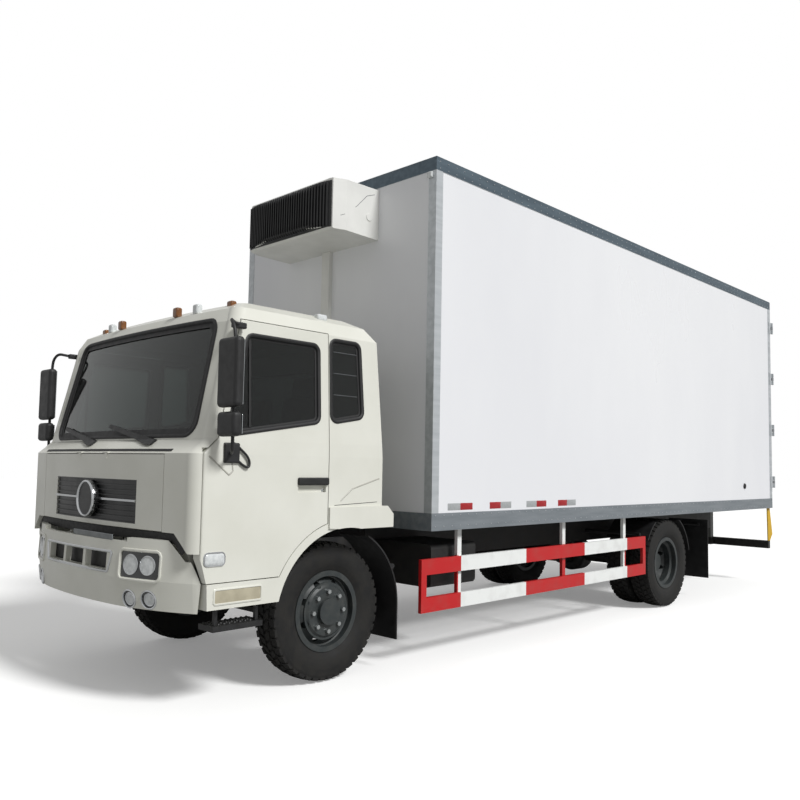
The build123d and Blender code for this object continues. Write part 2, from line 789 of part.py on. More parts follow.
# Door gear: hinge straps, two lock rods with guides and keepers' cams, and a handle on each rod.
with BuildPart() as door_gear_left:
    strap_low = hinge_length / 3 + leaf_clear
    strap_high = hinge_length * 2 / 3 - leaf_clear
    for low in hinge_levels():
        door_edge = portal_half - 2 * leaf_clear
        block((hinge_x - strap_reach, box_rear, low + strap_low),
              (door_edge, box_rear + strap_thickness, low + strap_high))
        prism(Plane.XY.offset(low + strap_low), [
            (door_edge - strap_thickness, box_rear), (door_edge, box_rear),
            (door_edge + strap_thickness, box_rear + 2 * leaf_clear),
            (hinge_x, box_rear + 2 * leaf_clear), (hinge_x, hinge_y),
            (hinge_x - hinge_radius, hinge_y - hinge_radius),
            (door_edge, hinge_y - hinge_radius)], strap_high - strap_low)
        rod((hinge_x, hinge_y, low + strap_low), (hinge_x, hinge_y, low + strap_high), hinge_radius)
        rod((hinge_x, hinge_y, low), (hinge_x, hinge_y, low + hinge_length),
            hinge_pin_radius + seat_gap, Mode.SUBTRACT)
    for share, way in zip(rod_share, SIDES):
        x = share * portal_half
        y = box_rear + rod_proud
        rod((x, y, door_low - overrun), (x, y, door_high + overrun), rod_radius)
        for low in (door_low + overrun, handle_z - hinge_length, handle_z + hinge_length, door_high - 2 * overrun):
            block((x - 2 * rod_radius, box_rear, low), (x + 2 * rod_radius, y, low + overrun))
        near, far = sorted((x - way * rod_radius, x + way * handle_length))
        block((near, y - handle_thickness / 2, handle_z), (far, y + handle_thickness / 2, handle_z + handle_height))
        near, far = sorted((x + way * (handle_length - handle_height), x + way * handle_length))
        block((near, box_rear, handle_z), (far, y, handle_z + handle_height))
with BuildPart() as door_gear_right:
    mirror(door_gear_left.part, about=Plane.YZ)

# Cooling unit: a bowed housing on the front wall, with a louvred front and a duct below.
unit_front = at(unit_front_station)
unit_depth = box_front - unit_front
unit_height = unit_top - unit_bottom
unit_side_shares = ((0.0, 0.0), (0.86, 0.02), (0.97, 0.10), (1.0, 0.55), (0.98, 0.86), (0.90, 0.985), (0.0, 1.0))
grille_side_shares = (0.14, 0.80)
with BuildPart() as cooling_unit:
    prism(Plane.YZ.offset(-unit_half_width), [
        (box_front + skin_recess - unit_depth * reach, unit_bottom + unit_height * up)
        for reach, up in unit_side_shares], 2 * unit_half_width)
    with BuildSketch(Plane.XY.offset(unit_bottom)) as unit_plan:
        with BuildLine():
            Line((unit_half_width, box_front + skin_recess), (unit_half_width, unit_front + unit_depth / 3))
            Line((unit_half_width, unit_front + unit_depth / 3), (unit_half_width * 0.93, unit_front + unit_depth / 8))
            ThreePointArc((unit_half_width * 0.93, unit_front + unit_depth / 8), (0, unit_front),
                          (-unit_half_width * 0.93, unit_front + unit_depth / 8))
            Line((-unit_half_width * 0.93, unit_front + unit_depth / 8), (-unit_half_width, unit_front + unit_depth / 3))
            Line((-unit_half_width, unit_front + unit_depth / 3), (-unit_half_width, box_front + skin_recess))
            Line((-unit_half_width, box_front + skin_recess), (unit_half_width, box_front + skin_recess))
        make_face()
    extrude(unit_plan.sketch, amount=unit_height, mode=Mode.INTERSECT)
    pocket = [unit_bottom + unit_height * share for share in grille_side_shares]
    block((-unit_half_width * 0.9, unit_front - overrun, pocket[0]),
          (unit_half_width * 0.9, unit_front + unit_depth / 3, pocket[1]), Mode.SUBTRACT)
    block((duct_x - duct_width / 2, box_front + skin_recess - duct_depth, duct_bottom),
          (duct_x + duct_width / 2, box_front + skin_recess, unit_bottom + overrun))
with BuildPart() as cooling_grille:
    pitch = 2 * unit_half_width * 0.9 / louvre_count
    back = unit_front + unit_depth / 3
    with BuildSketch(Plane.XY.offset(pocket[0])) as bow:
        with BuildLine():
            ThreePointArc((unit_half_width * 0.9, unit_front + unit_depth / 8), (0, unit_front + louvre_thickness),
                          (-unit_half_width * 0.9, unit_front + unit_depth / 8))
            Line((-unit_half_width * 0.9, unit_front + unit_depth / 8), (-unit_half_width * 0.9, back))
            Line((-unit_half_width * 0.9, back), (unit_half_width * 0.9, back))
            Line((unit_half_width * 0.9, back), (unit_half_width * 0.9, unit_front + unit_depth / 8))
        make_face()
    extrude(bow.sketch, amount=pocket[1] - pocket[0])
    for index in range(louvre_count):
        x = -unit_half_width * 0.9 + index * pitch + louvre_thickness
        block((x, unit_front - overrun, pocket[0] + louvre_thickness),
              (x + pitch - 2 * louvre_thickness, back - 2 * louvre_thickness, pocket[1] - louvre_thickness),
              Mode.SUBTRACT)

# Side guards: two striped rails a side, with an upright at each end and three posts.
with BuildPart() as side_guards:
    guard_length = guard_rear - guard_front
    for side in SIDES:
        for low, high in (guard_upper, guard_lower):
            side_block(side, (guard_out - guard_depth, at(guard_front), low), (guard_out, at(guard_rear), high))
        for start in (guard_front, guard_rear - guard_end_width):
            side_block(side, (guard_out - guard_depth, at(start), guard_lower[0]),
                       (guard_out, at(start + guard_end_width), guard_upper[1]))
        for share in guard_post_share:
            start = at(guard_front + share * guard_length - guard_post_width / 2)
            side_block(side, (guard_out - 2 * guard_depth, start, guard_lower[0]),
                       (guard_out - guard_depth, start + guard_post_width, box_bottom))

# Fuel tank on the right and battery box on the left, each on straps to the frame.
with BuildPart() as fuel_tank:
    block((-tank_outer, at(tank_front), tank_low), (-tank_inner, at(tank_rear), tank_high))
    fillet(fuel_tank.edges().filter_by(Axis.Y), tank_corner)
    for share in (0.15, 0.75):
        start = at(tank_front + share * (tank_rear - tank_front))
        block((-tank_inner - tank_corner, start, frame_bottom + tank_strap), (-frame_half_width, start + tank_strap, frame_top - tank_strap))
with BuildPart() as battery_box:
    block((frame_half_width, at(battery_front), battery_low), (battery_outer, at(battery_rear), battery_high))
    fillet(battery_box.edges().filter_by(Axis.Y), tank_strap)

# Mudguards: an arc behind each front wheel, and a flap and two arcs at each rear wheel.
with BuildPart() as mudguards:
    for side in SIDES:
        for start, end, radius, axle, inner, outer in (
                (0.0, 62.0, mudguard_radius, at(0), mudguard_inner, mudguard_outer),
                (12.0, 58.0, rear_guard_radius, rear_axle_y, flap_inner, flap_outer),
                (122.0, 150.0, rear_guard_radius, rear_axle_y, flap_inner, flap_outer)):
            near, far = sorted((side * inner, side * outer))
            with BuildSketch(Plane(origin=(near, axle, axle_z), x_dir=(0, 1, 0), z_dir=(1, 0, 0))) as arc:
                with BuildLine():
                    CenterArc((0, 0), radius, start, end - start)
                    CenterArc((0, 0), radius + mudguard_wall, start, end - start)
                    for angle in (start, end):
                        across = (cos(radians(angle)), sin(radians(angle)))
                        Line((radius * across[0], radius * across[1]),
                             ((radius + mudguard_wall) * across[0], (radius + mudguard_wall) * across[1]))
                make_face()
            extrude(arc.sketch, amount=far - near)
        side_block(side, (mudguard_inner, at(mudguard_radius), flap_bottom),
                   (mudguard_outer, at(mudguard_radius) + mudguard_wall, axle_z))
        side_block(side, (flap_inner, at(rear_flap_station), flap_bottom),
                   (flap_outer, at(rear_flap_station) + mudguard_wall, frame_top))
        front_stay = mudguard_radius + mudguard_wall + stay_radius / 2
        for y, z in ((at(front_stay * cos(radians(28))), axle_z + front_stay * sin(radians(28))),
                     (at(rear_flap_station) + mudguard_wall / 2, frame_top - stay_radius * 3),
                     (rear_axle_y + rear_guard_radius * cos(radians(35)) + stay_radius,
                      axle_z + rear_guard_radius * sin(radians(35)) + stay_radius),
                     (rear_axle_y - rear_guard_radius * cos(radians(35)) - stay_radius,
                      axle_z + rear_guard_radius * sin(radians(35)) + stay_radius)):
            rod((side * frame_half_width, y, z), (side * mudguard_outer, y, z), stay_radius)

# Underrun bar on two hangers, with the slanted plates at the corners.
with BuildPart() as rear_bar:
    bar_front = at(bar_front_station)
    block((-bar_half_width, bar_front, bar_low), (bar_half_width, bar_front + bar_depth, bar_high))
    for side in SIDES:
        side_block(side, (frame_flange_inner, at(frame_rear_station), bar_low),
                   (frame_half_width, bar_front, frame_top))
        near, far = sorted((side * (bar_half_width - corner_plate), side * bar_half_width))
        prism(Plane.YZ.offset(near), [
            (box_rear - corner_plate_width, box_bottom), (box_rear, box_bottom),
            (bar_front + bar_depth + corner_plate_lean, bar_high + corner_plate_width),
            (bar_front + bar_depth, bar_high), (bar_front, bar_high)], far - near)

# Lamps: headlamps and fog lamps in the bumper, lamp blocks in the rear sill.
with BuildPart() as tail_lamps:
    for side in SIDES:
        side_block(side, (tail_lamp_inner, box_rear, tail_lamp_low),
                   (tail_lamp_outer, box_rear + tail_lamp_proud, tail_lamp_high))

# Cab shell: the hollow skin with its floor, engine tunnel, sills, step wells and openings.


def arch_cut(radius, depth_low, depth_high, mode=Mode.SUBTRACT):
    for side in SIDES:
        rod((side * depth_low, at(0), axle_z), (side * depth_high, at(0), axle_z), radius, mode)


def door_outline(side, gap=0.0):
    # Door edge on the cab's side, with its lower rear corner cut to follow the wheel arch.
    plane = Plane.YZ.offset(door_inner_x if side > 0 else -cab_half_width - overrun)
    with BuildSketch(plane) as drawn:
        with BuildLine():
            Polyline((at(door_foot), door_bottom), (at(door_rear), door_bottom), (at(door_rear), door_head),
                     (at(door_head_front), door_head), (at(pillar_bend[0]), pillar_bend[1]),
                     (at(door_front), pillar_foot_z),
                     (at(door_front), door_front_low), close=True)
        make_face()
        with Locations((at(0), axle_z)):
            Circle(arch_radius + arch_lip, mode=Mode.SUBTRACT)
        if gap:
            offset(amount=gap, kind=Kind.INTERSECTION)
    return drawn.sketch


def screen_prism(margin=0.0, mode=Mode.ADD):
    prism(Plane.XZ.offset(-at(0)), [
        (-screen_low_half + margin, screen_low + margin), (screen_low_half - margin, screen_low + margin),
        (screen_high_half - margin, screen_high - margin), (-screen_high_half + margin, screen_high - margin)],
        -cab_nose_station + overrun, mode, screen_corner - margin)


def side_window(points, depth_low, depth_high, mode, corner=window_corner):
    for side in SIDES:
        near, far = sorted((side * depth_low, side * depth_high))
        prism(Plane.YZ.offset(near), [(at(y), z) for y, z in points], far - near, mode, corner)


door_window = (window_front_low, window_rear_low, window_rear_high, window_front_high)
quarter_window = ((quarter_front, quarter_low_front), (quarter_rear, quarter_low),
                  (quarter_rear - window_corner / 2, quarter_high), (quarter_front, quarter_high))
lid_axis_y = at(cab_nose_station)
lid_axis_z = lid_high + lid_axis_rise
deep = cab_half_width + overrun

door_hinge_x = cab_half_width - door_edge_round - 4 * seat_gap
door_hinge_y = at(door_front) + door_edge_round
door_hinge_reach = 4 * door_hinge_radius + door_pin_radius


def hinge_pocket(side, low, mode):
    # Room in the door's inner front edge for one hinge arm.
    clear = door_hinge_clear
    side_block(side, (door_inner_x, at(door_front) - overrun, low - clear),
               (door_hinge_x + clear, door_hinge_y + door_hinge_radius + clear, low + door_hinge_height + clear), mode)
    rod((side * door_hinge_x, door_hinge_y, low - clear),
        (side * door_hinge_x, door_hinge_y, low + door_hinge_height + clear), door_hinge_radius + clear, mode)


def lid_hinge_blocks(x, half, mode=Mode.ADD):
    block((x - half, lid_axis_y - lid_hinge_radius, lid_high + lid_gap / 2),
          (x + half, lid_axis_y + 3 * lid_hinge_radius, lid_axis_z + 2 * lid_hinge_radius), mode)


with BuildPart() as cab_shell:
    cab_form(cab_skin_shares, 0.0, 0.0)
    prism(Plane.YZ.offset(-deep), [
        (at(bumper_nose), cab_corner_low), (at(door_front) + leaf_clear, cab_corner_low),
        (at(door_foot) + leaf_clear, door_bottom),
        (at(bumper_end) + 4 * leaf_clear, sill_bottom), (at(0) - arch_radius + leaf_clear, sill_bottom),
        (at(0), sill_bottom), (at(0), arch_flat), (at(fender_rear_station), arch_flat),
        (at(fender_rear_station), cab_roof + overrun), (at(bumper_nose), cab_roof + overrun)],
        2 * deep, Mode.INTERSECT)
    cab_form(cab_room_shares, cab_wall, cab_front_wall, Mode.SUBTRACT)
    block((-skirt_inner, at(bumper_nose), 0), (skirt_inner, at(fender_rear_station), cab_floor_bottom), Mode.SUBTRACT)
    for side in SIDES:
        prism(Plane.XZ.offset(-at(door_front) - leaf_clear), [
            (side * skirt_inner, cab_corner_low - overrun), (side * cab_slope_outer, cab_corner_low - overrun),
            (side * cab_slope_outer, cab_corner_low), (side * cab_slope_inner, cab_front_low),
            (side * skirt_inner, cab_front_low)], door_front - bumper_nose + overrun, Mode.SUBTRACT)
    # Step wells behind the doors, then the wheel arches through the skirts.
    for side in SIDES:
        with BuildPart(mode=Mode.PRIVATE) as well:
            side_block(side, (skirt_inner + skirt_wall, at(door_foot) + 2 * leaf_clear, sill_top),
                       (cab_half_width - cab_wall, at(0) - overrun, cab_floor_top + leaf_clear))
            rod((side * skirt_inner, at(0), axle_z), (side * deep, at(0), axle_z), arch_radius + skirt_wall, Mode.SUBTRACT)
        add(well.part, mode=Mode.SUBTRACT)
    arch_cut(arch_radius, skirt_inner, deep)
    for side in SIDES:
        near, far = sorted((side * (cab_half_width - 4 * cab_wall), side * (cab_half_width + 3 * leaf_clear)))
        prism(Plane.YZ.offset(near), [
            (at(0), arch_flat), (at(fender_rear_station), arch_flat), (at(fender_rear_station), fender_top - overrun),
            (at(fender_rear_station) - overrun, fender_top), (at(door_rear) + 2 * leaf_clear, fender_top),
            (at(door_rear) + 2 * leaf_clear, axle_z + arch_radius)], far - near)
    arch_cut(arch_radius, skirt_inner, deep)
    # Engine tunnel under the middle of the floor.
    block((-tunnel_half_width - tunnel_wall, at(tunnel_front_station) - tunnel_wall, cab_floor_top),
          (tunnel_half_width + tunnel_wall, at(cab_nose_station) + cab_length - cab_wall, tunnel_top + tunnel_wall))
    block((-tunnel_half_width, at(tunnel_front_station), cab_floor_bottom),
          (tunnel_half_width, at(fender_rear_station), tunnel_top), Mode.SUBTRACT)
    for side in SIDES:
        extrude(door_outline(side, door_gap), amount=deep - door_inner_x, mode=Mode.SUBTRACT)
    screen_prism(mode=Mode.SUBTRACT)
    side_window(quarter_window, cab_half_width - 2 * cab_wall, deep, Mode.SUBTRACT)
    prism(Plane.XZ.offset(-at(fender_rear_station)), [
        (-rear_window_half, rear_window_low), (rear_window_half, rear_window_low),
        (rear_window_half, rear_window_high), (-rear_window_half, rear_window_high)],
        fender_rear_station + cab_wall, Mode.SUBTRACT, window_corner)
    # Door hinges: an arm from the jamb to a knuckle on the hinge line.
    for side in SIDES:
        for low in door_hinge_levels:
            high = low + door_hinge_height
            side_block(side, (door_hinge_x - door_hinge_reach, at(door_front) - door_gap - door_hinge_radius, low),
                       (door_hinge_x - door_hinge_reach + door_hinge_radius, door_hinge_y + door_hinge_radius / 2, high))
            side_block(side, (door_hinge_x - door_hinge_reach, door_hinge_y - door_hinge_radius / 2, low),
                       (door_hinge_x, door_hinge_y + door_hinge_radius / 2, high))
            rod((side * door_hinge_x, door_hinge_y, low), (side * door_hinge_x, door_hinge_y, high),
                door_hinge_radius)
            rod((side * door_hinge_x, door_hinge_y, low), (side * door_hinge_x, door_hinge_y, high),
                door_pin_radius + seat_gap, Mode.SUBTRACT)
        # Relief in the foot of the windscreen pillar, where the door's edge swings past.
        rod((side * door_hinge_x, door_hinge_y, pillar_foot_z - door_gap),
            (side * door_hinge_x, door_hinge_y, pillar_foot_z + 7 * leaf_clear),
            cab_half_width - door_hinge_x + leaf_clear, Mode.SUBTRACT)
    # Pocket for the front lid, open at its lower edge.
    with BuildPart(mode=Mode.PRIVATE) as pocket_form:
        block((-lid_half_width - lid_gap, at(bumper_nose), sill_bottom),
              (lid_half_width + lid_gap, at(door_head_front), lid_high + lid_gap))
        cab_form(cab_skin_shares, 0.0, lid_pocket, Mode.SUBTRACT)
    add(pocket_form.part, mode=Mode.SUBTRACT)
    # Lid hinges: a knuckle each side of a notch, with the pin.
    for side in SIDES:
        x = side * lid_hinge_x
        for end in SIDES:
            middle = x + end * (1.5 * lid_hinge_half + door_hinge_clear)
            block((middle - lid_hinge_half / 2, lid_axis_y, lid_axis_z - lid_hinge_radius),
                  (middle + lid_hinge_half / 2, lid_axis_y + 3 * lid_hinge_radius, lid_axis_z + lid_hinge_radius))
            rod((middle - lid_hinge_half / 2, lid_axis_y, lid_axis_z),
                (middle + lid_hinge_half / 2, lid_axis_y, lid_axis_z), lid_hinge_radius)
        lid_hinge_blocks(x, lid_hinge_half + door_hinge_clear, Mode.SUBTRACT)
        rod((x - 2 * lid_hinge_half, lid_axis_y, lid_axis_z), (x + 2 * lid_hinge_half, lid_axis_y, lid_axis_z),
            lid_pin_radius)
    # Tilt arms under the front of the floor.
    for side in SIDES:
        near, far = sorted((side * (pivot_x - pivot_half), side * (pivot_x + pivot_half)))
        prism(Plane.YZ.offset(near), [
            (at(pivot_station), pivot_z - pivot_boss), (at(pivot_station) + 6 * pivot_boss, pivot_z),
            (at(pivot_station) + 10 * pivot_boss, cab_floor_bottom + leaf_clear),
            (at(pivot_station) + 6 * pivot_boss, cab_floor_bottom + leaf_clear),
            (at(pivot_station) + 4 * pivot_boss, pivot_z + 2 * pivot_boss),
            (at(pivot_station), pivot_z + pivot_boss)], far - near)
        rod((near, at(pivot_station), pivot_z), (far, at(pivot_station), pivot_z), pivot_boss)
        rod((near, at(pivot_station), pivot_z), (far, at(pivot_station), pivot_z), pivot_pin + seat_gap, Mode.SUBTRACT)

# Cab doors: the skin's side panel, cut to the door's outline, with the window let in.
def skin_layer(outer, inner):
    # The part of the cab skin between two depths.
    cab_form(cab_skin_shares, outer, outer)
    cab_form(cab_skin_shares, inner, inner, Mode.SUBTRACT)


with BuildPart() as cab_door_left:
    skin_layer(0.0, cab_wall)
    extrude(door_outline(1), amount=deep - door_inner_x, mode=Mode.INTERSECT)
    with BuildPart(mode=Mode.PRIVATE) as edge_round:
        block((door_hinge_x, at(door_front) - overrun, 0), (deep, door_hinge_y, cab_roof))
        rod((door_hinge_x, door_hinge_y, 0), (door_hinge_x, door_hinge_y, cab_roof), door_edge_round, Mode.SUBTRACT)
    add(edge_round.part, mode=Mode.SUBTRACT)
    side_window(door_window, skirt_inner, deep, Mode.SUBTRACT)
    for low in door_hinge_levels:
        hinge_pocket(1, low, Mode.SUBTRACT)
        rod((door_hinge_x, door_hinge_y, low - door_hinge_radius),
            (door_hinge_x, door_hinge_y, low + door_hinge_height + door_hinge_radius), door_pin_radius)
    block((cab_half_width - pull_depth, at(handle_station - pull_length), handle_rise - 2 * pull_height),
          (deep, at(handle_station), handle_rise + pull_height / 2), Mode.SUBTRACT)
    block((cab_half_width - pull_depth / 2, at(handle_station - pull_length), handle_rise - pull_height / 2),
          (cab_half_width + pull_depth / 2, at(handle_station), handle_rise + pull_height / 2))
with BuildPart() as cab_door_right:
    mirror(cab_door_left.part, about=Plane.YZ)
with BuildPart() as door_window_left:
    skin_layer(glass_inset, glass_inset + glass)
    near = skirt_inner
    prism(Plane.YZ.offset(near), [(at(y), z) for y, z in door_window], deep - near, Mode.INTERSECT, window_corner)
with BuildPart() as door_window_right:
    mirror(door_window_left.part, about=Plane.YZ)

with BuildPart() as windscreen:
    skin_layer(glass_inset, glass_inset + glass)
    screen_prism(mode=Mode.INTERSECT)
with BuildPart() as cab_windows:
    with BuildPart(mode=Mode.PRIVATE) as quarter:
        skin_layer(glass_inset, glass_inset + glass)
        near = cab_half_width - 2 * cab_wall
        prism(Plane.YZ.offset(near), [(at(y), z) for y, z in quarter_window], deep - near,
              Mode.INTERSECT, window_corner)
    add(quarter.part)
    mirror(quarter.part, about=Plane.YZ)
    with BuildPart(mode=Mode.PRIVATE) as rear_pane:
        skin_layer(glass_inset, glass_inset + glass)
        prism(Plane.XZ.offset(-at(fender_rear_station)), [
            (-rear_window_half, rear_window_low), (rear_window_half, rear_window_low),
            (rear_window_half, rear_window_high), (-rear_window_half, rear_window_high)],
            fender_rear_station + cab_wall, Mode.INTERSECT, window_corner)
    add(rear_pane.part)

# Front lid with the grille let into it.
with BuildPart() as front_panel:
    skin_layer(0.0, lid_thickness)
    block((-lid_half_width, at(bumper_nose), lid_low), (lid_half_width, at(door_head_front), lid_high), Mode.INTERSECT)
    with BuildPart(mode=Mode.PRIVATE) as grille_pocket:
        block((-grille_half_width, at(bumper_nose), grille_low), (grille_half_width, at(door_head_front), grille_high))
        cab_form(cab_skin_shares, 0.0, grille_depth, Mode.SUBTRACT)
    add(grille_pocket.part, mode=Mode.SUBTRACT)
    for side in SIDES:
        x = side * lid_hinge_x
        block((x - lid_hinge_half, lid_axis_y, lid_high - lid_thickness),
              (x + lid_hinge_half, lid_axis_y + lid_hinge_radius, lid_axis_z))
        rod((x - lid_hinge_half, lid_axis_y, lid_axis_z), (x + lid_hinge_half, lid_axis_y, lid_axis_z), lid_hinge_radius)
        rod((x - lid_hinge_half, lid_axis_y, lid_axis_z), (x + lid_hinge_half, lid_axis_y, lid_axis_z),
            lid_pin_radius + seat_gap, Mode.SUBTRACT)

def front_layer(low, high, outer, inner):
    # A strip of the cab's front, as wide as the grille, between two depths.
    with BuildPart(mode=Mode.PRIVATE) as strip:
        block((-grille_half_width, at(bumper_nose), low), (grille_half_width, at(door_head_front), high))
        cab_form(cab_skin_shares, 0.0, inner, Mode.SUBTRACT)
        cab_form(cab_skin_shares, 0.0, outer, Mode.INTERSECT)
    add(strip.part)


with BuildPart() as front_grille:
    front_layer(grille_low, grille_high, grille_depth - slat_thickness / 2, grille_depth)
    pitch = (grille_high - grille_low - slat_thickness) / slat_count
    for index in range(slat_count + 1):
        low = grille_low + index * pitch
        front_layer(low, low + slat_thickness, 0.0, grille_depth)
    with Locations(Plane(origin=(0, at(cab_nose_station) + grille_depth, (grille_low + grille_high) / 2),
                         x_dir=(1, 0, 0), z_dir=(0, -1, 0))):
        Cylinder(ring_radius, ring_proud + grille_depth, align=(Align.CENTER, Align.CENTER, Align.MIN))
        Cylinder(ring_radius - 2 * ring_tube, 2 * (ring_proud + grille_depth) - 2 * ring_tube, mode=Mode.SUBTRACT)

# Bumper: a bowed shell with wings that wrap round to the cab's sides.
bumper_levels = ((bumper_bottom, bumper_tuck), (bumper_lip, 0.0), (bumper_top, bumper_tuck / 2))


def bumper_plan(height, inset):
    # A flat bow, a tighter arc and a corner arc on each side, each tangent to the next.
    rise = bumper_bow_station - bumper_nose
    bow_turn = 2 * atan2(rise, bumper_bow_half)
    chord = atan2(bumper_corner_station - bumper_bow_station, bumper_corner_half - bumper_bow_half)
    side_turn = 2 * chord - bow_turn
    corner_radius = (bumper_half_width - bumper_corner_half) / (1 - sin(side_turn))
    bow = (bumper_bow_half - inset * sin(bow_turn), at(bumper_bow_station) + inset * cos(bow_turn))
    corner = (bumper_corner_half - inset * sin(side_turn), at(bumper_corner_station) + inset * cos(side_turn))
    flank = (bumper_half_width - inset, at(bumper_corner_station) + corner_radius * cos(side_turn))
    rear = flank[1] + overrun
    with BuildSketch(Plane.XY.offset(height)) as section:
        with BuildLine():
            ThreePointArc((-bow[0], bow[1]), (0, at(bumper_nose) + inset), bow)
            for side in SIDES:
                TangentArc((side * bow[0], bow[1]), (side * corner[0], corner[1]),
                           tangent=(side * cos(bow_turn), sin(bow_turn)))
                TangentArc((side * corner[0], corner[1]), (side * flank[0], flank[1]),
                           tangent=(side * cos(side_turn), sin(side_turn)))
                Line((side * flank[0], flank[1]), (side * flank[0], rear))
            Line((-flank[0], rear), (flank[0], rear))
        make_face()
    return section.sketch.faces()[0]


def bumper_form(inset, mode=Mode.ADD):
    loft([bumper_plan(height, tuck + inset) for height, tuck in bumper_levels], ruled=True, mode=mode)


with BuildPart() as front_bumper:
    bumper_form(0.0)
    bumper_form(bumper_wall, Mode.SUBTRACT)
    prism(Plane.YZ.offset(-deep), [
        (at(bumper_nose) - overrun, bumper_bottom - overrun), (at(bumper_end), bumper_bottom - overrun),
        (at(bumper_end), bumper_bottom), (at(door_foot) - 2 * leaf_clear, bumper_lip),
        (at(door_front) - leaf_clear, bumper_wing_top), (at(bumper_slope_rear), bumper_wing_top),
        (at(bumper_slope_front), bumper_top), (at(bumper_nose) - overrun, bumper_top)], 2 * deep, Mode.INTERSECT)
    block((-bumper_mid_half, at(bumper_nose) - overrun, bumper_mid_top),
          (bumper_mid_half, at(bumper_end), bumper_top + overrun), Mode.SUBTRACT)
    cell = (2 * intake_half_width - 2 * intake_post) / 3
    for index in range(3):
        x = -intake_half_width + index * (cell + intake_post)
        block((x, at(bumper_nose) - overrun, intake_low), (x + cell, at(bumper_end), intake_high), Mode.SUBTRACT)
    for side in SIDES:
        side_block(side, (lamp_inner, at(bumper_nose) - overrun, lamp_low),
                   (lamp_outer, at(bumper_slope_rear), lamp_high), Mode.SUBTRACT)
        for x, z in fog_places:
            rod((side * x, at(bumper_nose) - overrun, z), (side * x, at(bumper_slope_rear), z),
                fog_radius, Mode.SUBTRACT)
        side_block(side, (frame_flange_inner, at(bumper_nose) + bumper_wall, frame_bottom),
                   (frame_half_width, at(frame_front_station), frame_bottom + frame_depth / 2))
        lug_out = pivot_x - pivot_half - 2 * leaf_clear
        side_block(side, (lug_out - pivot_lug, at(pivot_station) - pivot_boss, frame_bottom),
                   (lug_out, at(pivot_station) + pivot_boss, pivot_z))
        rod((side * (lug_out - pivot_lug), at(pivot_station), pivot_z), (side * lug_out, at(pivot_station), pivot_z),
            pivot_boss)
        rod((side * lug_out, at(pivot_station), pivot_z), (side * (pivot_x + pivot_half), at(pivot_station), pivot_z),
            pivot_pin)

with BuildPart() as front_lamps:
    bumper_form(leaf_clear)
    bumper_form(bumper_wall, Mode.SUBTRACT)
    with BuildPart(mode=Mode.PRIVATE) as openings:
        for side in SIDES:
            side_block(side, (lamp_inner, at(bumper_nose) - overrun, lamp_low),
                       (lamp_outer, at(bumper_slope_rear), lamp_high))
            for x, z in fog_places:
                rod((side * x, at(bumper_nose) - overrun, z), (side * x, at(bumper_slope_rear), z), fog_radius)
    add(openings.part, mode=Mode.INTERSECT)

# Steps under the sills, on two hangers each.
with BuildPart() as cab_steps:
    for side in SIDES:
        side_block(side, (step_inner, at(step_front), step_low),
                   (step_outer, at(step_rear), step_low + step_thickness))
        for station in (step_front + step_hanger, step_rear - 2 * step_hanger):
            side_block(side, (step_outer - 2 * step_hanger, at(station), step_low),
                       (step_outer - step_hanger, at(station + step_hanger), sill_bottom))

# Dashboard with the steering column and wheel, and three seats.
dash_shares = ((0.0, 0.0), (0.0, 0.82), (0.22, 0.98), (0.80, 0.94), (1.0, 0.72), (0.85, 0.40), (0.40, 0.30), (0.40, 0.0))
dash_depth = 400.0
dash_height = 530.0
with BuildPart() as dashboard:
    with BuildPart(mode=Mode.PRIVATE) as board:
        prism(Plane.YZ.offset(-dash_half_width), [
            (at(cab_nose_station) + cab_front_wall + dash_depth * reach, cab_floor_top + dash_height * up)
            for reach, up in dash_shares], 2 * dash_half_width)
        cab_form(cab_room_shares, cab_wall, cab_front_wall, Mode.INTERSECT)
        add(cab_shell.part, mode=Mode.SUBTRACT)
    add(board.part)
    lean = (0, sin(radians(wheel_tilt)), cos(radians(wheel_tilt)))
    centre = Vector(seat_x, at(wheel_station), wheel_height)
    foot = centre - Vector(*lean) * dash_depth
    rod(tuple(foot), tuple(centre), column_radius)
    with Locations(Plane(origin=tuple(centre), z_dir=lean)):
        Torus(wheel_rim_radius, wheel_rim_tube)
        Box(2 * wheel_rim_radius, 2 * column_radius, wheel_rim_tube)
with BuildPart() as seats:
    for x, half, low in ((seat_x, seat_half_width, cab_floor_top), (-seat_x, seat_half_width, cab_floor_top),
                         (0, middle_half_width, tunnel_top + tunnel_wall)):
        top = cab_floor_top + seat_base_height + seat_cushion
        block((x - half, at(seat_front), top - seat_cushion), (x + half, at(seat_back_station), top))
        block((x - half * 0.8, at(seat_front) + overrun, low), (x + half * 0.8, at(seat_back_station), top - seat_cushion))
        prism(Plane.YZ.offset(x - half), [
            (at(seat_back_station) - seat_back_thickness / 2, top), (at(seat_back_station) + seat_back_thickness / 2, top),
            (at(seat_back_station) + seat_back_thickness * 1.3, top + seat_back_height),
            (at(seat_back_station) + seat_back_thickness * 0.5, top + seat_back_height)], 2 * half)
        if x:
            block((x - headrest_half_width, at(seat_back_station) + seat_back_thickness * 0.6, top + seat_back_height),
                  (x + headrest_half_width, at(seat_back_station) + seat_back_thickness * 1.2,
                   top + seat_back_height + headrest_height))

